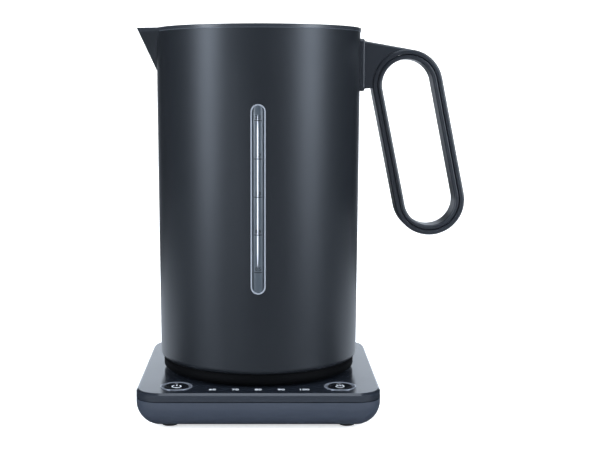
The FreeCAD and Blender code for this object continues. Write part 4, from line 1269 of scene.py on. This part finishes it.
@dataclass
class Gauge:
    """The water gauge's painted highlight line, a bright bead that stands in for a reflection, and its
    printed scale, on the lens's rounded front.
    """

    paint: Paintbox
    taper: BodyTaper
    litres: tuple[float, ...] = (0.5, 0.9, 1.3, 1.7, 2.1)
    first_level: float = 108.5 * MM
    level_pitch: float = 25.6 * MM
    mark_width: float = 5.4 * MM
    mark_height: float = 0.55 * MM
    mark_steps: int = 10
    numeral_height: float = 2.4 * MM
    numeral_rise: float = 0.7
    lens_round: float = 5.2 * MM
    lens_proud: float = 0.7 * MM
    print_depth: float = 0.06 * MM
    line_low: float = 112.0 * MM
    line_high: float = 215.0 * MM
    line_half: float = 0.46 * MM
    line_taper: float = 12.0 * MM
    line_offset: float = -0.3 * MM
    line_crown: float = 0.05 * MM
    line_root: float = -0.04 * MM
    line_tip: float = 0.06
    line_steps: int = 60

    def build(self) -> None:
        """Makes the painted highlight line, the marks and their numbers."""
        self.guide_line()
        pieces = []
        for i, amount in enumerate(self.litres):
            z = self.first_level + i * self.level_pitch
            number = text_mesh("gauge_number", f"{amount:.1f}", self.numeral_height, self.print_depth)
            pieces.append(self.bend(self.mark(), z))
            pieces.append(self.bend(number, z + self.mark_height + self.numeral_height * self.numeral_rise))
        self.paint.place(join("gauge_scale", pieces), Finish.DARK, "kettle", Slot.DARK)

    def guide_line(self) -> None:
        """A slim bright bead up the lens, drawn out to a point at both ends: a painted highlight that stands
        in for the lens's reflection.
        """
        build = bmesh.new()
        rows = []
        for i in range(self.line_steps + 1):
            up = (self.line_high - self.line_low) * i / self.line_steps
            near = min(up, self.line_high - self.line_low - up) / self.line_taper
            half = self.line_half * max(self.line_tip, math.sqrt(min(1.0, near)))
            across = [(-half, 0.0), (-half * 0.5, self.line_crown), (half * 0.5, self.line_crown)]
            across += [(half, 0.0), (0.0, self.line_root)]
            rows.append([build.verts.new((x + self.line_offset, up, out)) for x, out in across])
        bridge(build, rows)
        piece = self.bend(mesh_object("gauge_guide_line", build), self.line_low, 0.0)
        self.paint.place(piece, Finish.LINE, "kettle", Slot.WHITE)

    def bend(self, obj: bpy.types.Object, z: float, lift: float = 0.09 * MM) -> bpy.types.Object:
        """Lays a flat print or the painted highlight line, drawn in XY round the origin, on the lens's round
        front.

        Args:
            obj: The print or the highlight line.
            z: The height that its origin comes to.
            lift: How far it stands off the lens.

        Returns:
            The same object.
        """
        for vertex in obj.data.vertices:
            x, up, out = vertex.co
            nose = self.taper.radius(z + up) + self.lens_proud
            sag = self.lens_round - math.sqrt(self.lens_round**2 - x**2)
            vertex.co = (x, sag - nose - out - lift, z + up)
        return obj

    def mark(self) -> bpy.types.Object:
        """One level's line, drawn round the origin.

        Returns:
            The line.
        """
        build = bmesh.new()
        steps = self.mark_steps
        path = [Vector((self.mark_width * (i / steps - 0.5), 0, 0)) for i in range(steps + 1)]
        ribbon(build, path, self.mark_height, self.print_depth)
        return mesh_object("gauge_mark", build, False)


@dataclass
class RimTrim:
    """The metal bead between the dark rim and the painted body, and a near-black ring of painted shade under
    the body.
    """

    paint: Paintbox
    taper: BodyTaper
    height: float = 0.45 * MM
    proud: float = 0.18 * MM
    root: float = 0.2 * MM
    shoulder: float = 0.6
    beak_gap: float = 18.5
    steps: int = 240
    foot_low: float = 30.2 * MM
    foot_high: float = 37.3 * MM
    foot_r: float = 69.9 * MM
    foot_wall: float = 2.2 * MM
    foot_round: float = 0.7 * MM
    foot_cut: float = 0.3

    def build(self) -> None:
        """Makes both rings."""
        self.rim_bead()
        self.foot_seal()

    def foot_seal(self) -> None:
        """A near-black ring between the painted body and the underside's skirt: painted shade in the gap
        under the body.
        """
        r, low, high = self.foot_r, self.foot_low, self.foot_high
        inner = r - self.foot_wall
        cut = self.foot_round * self.foot_cut
        outline = [(inner, low), (r - self.foot_round, low), (r - cut, low + cut)]
        outline += [(r, low + self.foot_round), (r, high), (inner, high)]
        build = bmesh.new()
        turned(build, outline, 0.0, self.steps)
        self.paint.place(mesh_object("foot_seal_ring", build), Finish.UNDERSIDE, "kettle", Slot.BLACK)

    def rim_bead(self) -> None:
        """Turns the bead round the body, open at the beak."""
        r = self.taper.high_r
        root, shoulder = r - self.root, r + self.proud * self.shoulder
        outline = [(root, -self.height), (shoulder, -self.height)]
        outline += [(r + self.proud, -self.height * 0.5), (shoulder, 0.0), (root, 0.0)]
        build = bmesh.new()
        turned(build, outline, self.taper.high_z, self.steps, self.beak_gap)
        piece = mesh_object("rim_bead", build)
        self.paint.place(piece, Finish.BEAD, "kettle", Slot.TRIM)


@dataclass
class LidTrim:
    """The lid button's bright ring and its raised lift mark."""

    paint: Paintbox
    ring_width: float = 1.1 * MM
    ring_height: float = 0.35 * MM
    ring_edge: float = 0.12 * MM
    ring_root: float = -0.1 * MM
    gap: float = 0.35 * MM
    mark_radius: float = 4.2 * MM
    mark_line: float = 0.8 * MM
    mark_peaks: tuple[float, ...] = (-0.2, 0.5)
    mark_drop: float = 0.55
    print_depth: float = 0.08 * MM
    steps: int = 120

    def build(self) -> None:
        """Makes the ring on the lid and the mark on its button."""
        low, high = box("lid_button")
        radius = (high.x - low.x) / 2
        top = box("lid_cover")[1].z
        inner = radius + self.gap
        outer = inner + self.ring_width
        edge, height = self.ring_edge, self.ring_height
        outline = [(inner, self.ring_root), (inner, height - edge), (inner + edge, height)]
        outline += [(outer - edge, height), (outer, height - edge), (outer, self.ring_root)]
        build = bmesh.new()
        turned(build, outline, top, self.steps)
        self.paint.place(mesh_object("lid_button_ring", build), Finish.STEEL, "lid", Slot.TRIM)
        marks = bmesh.new()
        r = self.mark_radius
        for peak in self.mark_peaks:
            ends = (self.mark_drop - peak) * r
            chevron = [Vector((ends, -r, 0)), Vector((-peak * r, 0, 0)), Vector((ends, r, 0))]
            ribbon(marks, chevron, self.mark_line, self.print_depth)
        piece = mesh_object("lid_button_mark", marks, False)
        piece.data.transform(Matrix.Translation((0, 0, high.z)))
        self.paint.place(piece, Finish.WHITE, "lid_button", Slot.WHITE)


@dataclass(frozen=True)
class SoftBox:
    """One rectangular area light."""

    name: str
    place: Point
    target: Point
    size: tuple[float, float]
    power: float

    def build(self, colour: Colour) -> None:
        """Hangs the light and aims it at its target.

        Args:
            colour: The light's colour.
        """
        data = bpy.data.lights.new(self.name, "AREA")
        data.shape = "RECTANGLE"
        data.size, data.size_y = self.size
        data.energy = self.power
        data.color = colour
        light = linked(self.name, data)
        light.visible_camera = False
        light.location = self.place
        aim = Vector(self.target) - Vector(self.place)
        light.rotation_euler = aim.to_track_quat("-Z", "Y").to_euler()


MIDDLE: Point = (0.0, 0.0, 0.15)

# Two tall strips and a small one in front, two panels behind, four on the floor and one above.
SOFT_BOXES: tuple[SoftBox, ...] = (
    SoftBox("strip_left", (-1.144, -0.772, 0.62), MIDDLE, (0.45, 1.2), 29.0),
    SoftBox("strip_right", (1.17, -0.73, 0.62), MIDDLE, (0.6, 1.2), 29.0),
    SoftBox("behind_left", (-0.29, 0.95, 0.2), (-0.29, 0.0, 0.2), (0.34, 0.36), 0.66),
    SoftBox("behind_right", (0.30, 0.95, 0.2), (0.30, 0.0, 0.2), (0.34, 0.36), 0.66),
    SoftBox("low_left", (-0.32, 0.22, 0.004), (-0.32, 0.22, 1.0), (0.44, 0.44), 0.95),
    SoftBox("low_right", (0.32, 0.22, 0.004), (0.32, 0.22, 1.0), (0.44, 0.44), 0.95),
    SoftBox("low_near", (0.0, -0.155, 0.004), (0.0, -0.155, 1.0), (0.44, 0.1), 0.08),
    SoftBox("low_front", (0.0, -0.58, 0.004), (0.0, -0.58, 1.0), (0.6, 0.5), 0.5),
    SoftBox("gauge_strip", (-0.32, -0.79, 0.1), (0.0, -0.07, 0.1), (0.02, 0.2), 0.38),
    SoftBox("overhead", (0.1, 0.0, 1.5), MIDDLE, (1.0, 0.8), 14.0),
)


@dataclass
class Stage:
    """Pale sweep, soft boxes and the camera."""

    camera_place: Point = (3.43 * MM, -846.4 * MM, 231.4 * MM)
    camera_pitch: float = 6.675
    lens: float = 69.45
    shift: float = 0.0613
    floor_r: float = 3.0
    bend_r: float = 0.6
    floor_height: float = 2.6
    hub_r: float = 0.001
    bend_steps: int = 12
    round_steps: int = 96
    white: Colour = (0.9, 0.9, 0.9)
    glow: float = 0.56
    surround: Colour = (0.88, 0.93, 1.0)
    surround_power: float = 0.04
    cool: Colour = (0.80, 0.885, 1.0)

    def build(self) -> None:
        """Makes everything that isn't the object."""
        bpy.context.scene.view_settings.view_transform = "Standard"
        self.sweep()
        self.world()
        for soft_box in SOFT_BOXES:
            soft_box.build(self.cool)
        self.camera()

    def sweep(self) -> None:
        """A round floor that curves up into a backdrop on every side."""
        flat_r = self.floor_r - self.bend_r
        profile = [(self.hub_r, 0.0), (flat_r, 0.0)]
        for i in range(1, self.bend_steps + 1):
            turn = math.radians(90 * i / self.bend_steps)
            profile.append((flat_r + self.bend_r * math.sin(turn), self.bend_r * (1 - math.cos(turn))))
        profile.append((self.floor_r, self.floor_height))
        build = bmesh.new()
        steps = self.round_steps
        turns = [math.tau * i / steps for i in range(steps)]
        rows = [[build.verts.new((r * math.cos(t), r * math.sin(t), z)) for t in turns] for r, z in profile]
        build.faces.new(rows[0])
        for here, there in zip(rows, rows[1:]):
            for k in range(steps):
                m = (k + 1) % steps
                build.faces.new((here[k], there[k], there[m], here[m]))
        floor = mesh_object("studio_sweep", build)
        g = Graph("studio_white")
        g.set(Base_Color=self.white, Roughness=0.9)
        g.set(Emission_Color=(1.0, 1.0, 1.0), Emission_Strength=self.glow)
        floor.data.materials.append(g.material)
        floor.visible_glossy = False

    def world(self) -> None:
        """A dim even surround."""
        world = bpy.data.worlds.new("surround")
        world.use_nodes = True
        background = world.node_tree.nodes["Background"]
        background.inputs["Color"].default_value = (*self.surround, 1.0)
        background.inputs["Strength"].default_value = self.surround_power
        bpy.context.scene.world = world

    def camera(self) -> None:
        """The viewpoint, a little below the rim."""
        data = bpy.data.cameras.new("camera")
        data.lens = self.lens
        data.sensor_width = 36.0
        data.shift_x = self.shift
        data.clip_start = 0.01
        camera = linked("camera", data)
        camera.location = self.camera_place
        camera.rotation_euler = (math.radians(90 - self.camera_pitch), 0.0, 0.0)
        bpy.context.scene.camera = camera


@dataclass
class LidSprings:
    """The two coil springs under the lid button."""

    paint: Paintbox
    wire_r: float = 0.35 * MM
    turns: float = 4.5
    travel: float = 2.5 * MM
    steps: int = 24
    sides: int = 8

    def coil(self, build: bmesh.types.BMesh, centre: Vector, radius: float, low: float, high: float) -> None:
        """Adds one spring's wire, wound upwards.

        Args:
            build: The mesh that the wire is added to.
            centre: A point on the spring's axis.
            radius: The radius of the wire's middle line.
            low: The height of the wire's middle line at its foot.
            high: The same at its top.
        """
        count = int(self.turns * self.steps)
        rows = []
        for i in range(count + 1):
            turn = math.tau * i / self.steps
            out = Vector((math.cos(turn), math.sin(turn), 0.0))
            middle = Vector((centre.x, centre.y, low + (high - low) * i / count)) + out * radius
            around = [math.tau * k / self.sides for k in range(self.sides)]
            ring = [middle + (out * math.cos(t) + Vector((0, 0, math.sin(t)))) * self.wire_r for t in around]
            rows.append([build.verts.new(point) for point in ring])
        bridge(build, rows)

    def build(self) -> None:
        """Winds both springs."""
        low, high = box("lid_button_spring")
        half = (high.x - low.x) / 2
        build = bmesh.new()
        for y in (low.y + half, high.y - half):
            centre = Vector(((low.x + high.x) / 2, y, low.z))
            self.coil(build, centre, half - self.wire_r, low.z + self.wire_r, high.z - self.wire_r)
        piece = self.paint.place(mesh_object("lid_button_coils", build), Finish.STEEL, "lid", Slot.STEEL)
        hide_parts("lid_button_spring")
        keep = 1 - self.travel / (high.z - low.z)
        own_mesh(piece)


def screw_sets(paint: Paintbox) -> list[ScrewSet]:
    """Every group of screws, placed from the frame's own boxes.

    Args:
        paint: The paintbox that dresses them.

    Returns:
        One set for each of the frame's screw nodes.
    """
    large, small, shank = 3.0 * MM, 2.6 * MM, 1.6 * MM
    tall, flat = 2.0 * MM, 1.2 * MM
    low, high = box("base_screws")
    seat = low.z + tall
    base = [(x, y, seat) for x in (low.x + large, high.x - large) for y in (low.y + large, high.y - large)]
    sets = [ScrewSet(paint, "base_screws", "base", base, large, tall, shank, high.z - seat)]
    low, high = box("under_screws")
    seat = low.z + tall
    under = ring_places(-low.y - small, seat, (30, 150, 270))
    sets.append(ScrewSet(paint, "under_screws", "kettle", under, small, tall, shank, high.z - seat))
    low, high = box("lid_screws")
    seat = low.z + flat
    lid = ring_places(high.x - small, seat, (0, 120, 240))
    sets.append(ScrewSet(paint, "lid_screws", "lid", lid, small, flat, shank, high.z - seat))
    low, high = box("handle_screws")
    seat = low.x + tall
    side = (0.0, math.pi / 2, 0.0)
    handle = [(seat, 0.0, z) for z in (low.z + large, high.z - large)]
    sets.append(ScrewSet(paint, "handle_screws", "kettle", handle, large, tall, shank, high.x - seat, side))
    return sets


def ring_places(radius: float, level: float, angles: Iterable[float]) -> list[Point]:
    """Places on a circle round the upright axis, at angles in degrees."""
    turns = [math.radians(angle) for angle in angles]
    return [(radius * math.cos(turn), radius * math.sin(turn), level) for turn in turns]


def vent_bars(paint: Paintbox) -> RibRow:
    """The row of bars on the base's bottom face, towards its back.

    Args:
        paint: The paintbox that dresses them.

    Returns:
        The row, not yet built.
    """
    centre = (0.0, 45 * MM, box("base_shell")[0].z)
    sizes = {"count": 12, "pitch": 4 * MM, "length": 22 * MM, "radius": 0.6 * MM}
    return RibRow(paint, "base_vent_bars", "base", centre, finish=Finish.BASE_LOW, slot=Slot.SLATE, **sizes)


def dress_frame(paint: Paintbox) -> None:
    """Gives every CAD node its finish, but for the two bezels, which BaseControls dresses.

    Args:
        paint: The paintbox that holds the finishes.
    """
    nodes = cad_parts
    paint.dress(nodes["body_shell"], Finish.BODY)
    count = 1
    for finish, names in NODE_FINISHES.items():
        for name in names.split():
            paint.dress(nodes[name], finish)
            count += 1
    LOG.info("dressed %d of %d nodes", count, len(nodes))


def main() -> None:
    """Builds the looks in order."""
    logging.basicConfig(level=logging.INFO, format="%(message)s")
    taper = BodyTaper.from_frame()
    paint = Paintbox(taper)
    Stage().build()
    dress_frame(paint)
    BaseControls(paint).build()
    BaseSeam(paint).build()
    Gauge(paint, taper).build()
    RimTrim(paint, taper).build()
    LidTrim(paint).build()
    WovenFilter(paint).build()
    RibRing(paint).build()
    LidSprings(paint).build()
    for screws in screw_sets(paint):
        screws.build()
    vent_bars(paint).build()


if __name__ == "__main__":
    main()
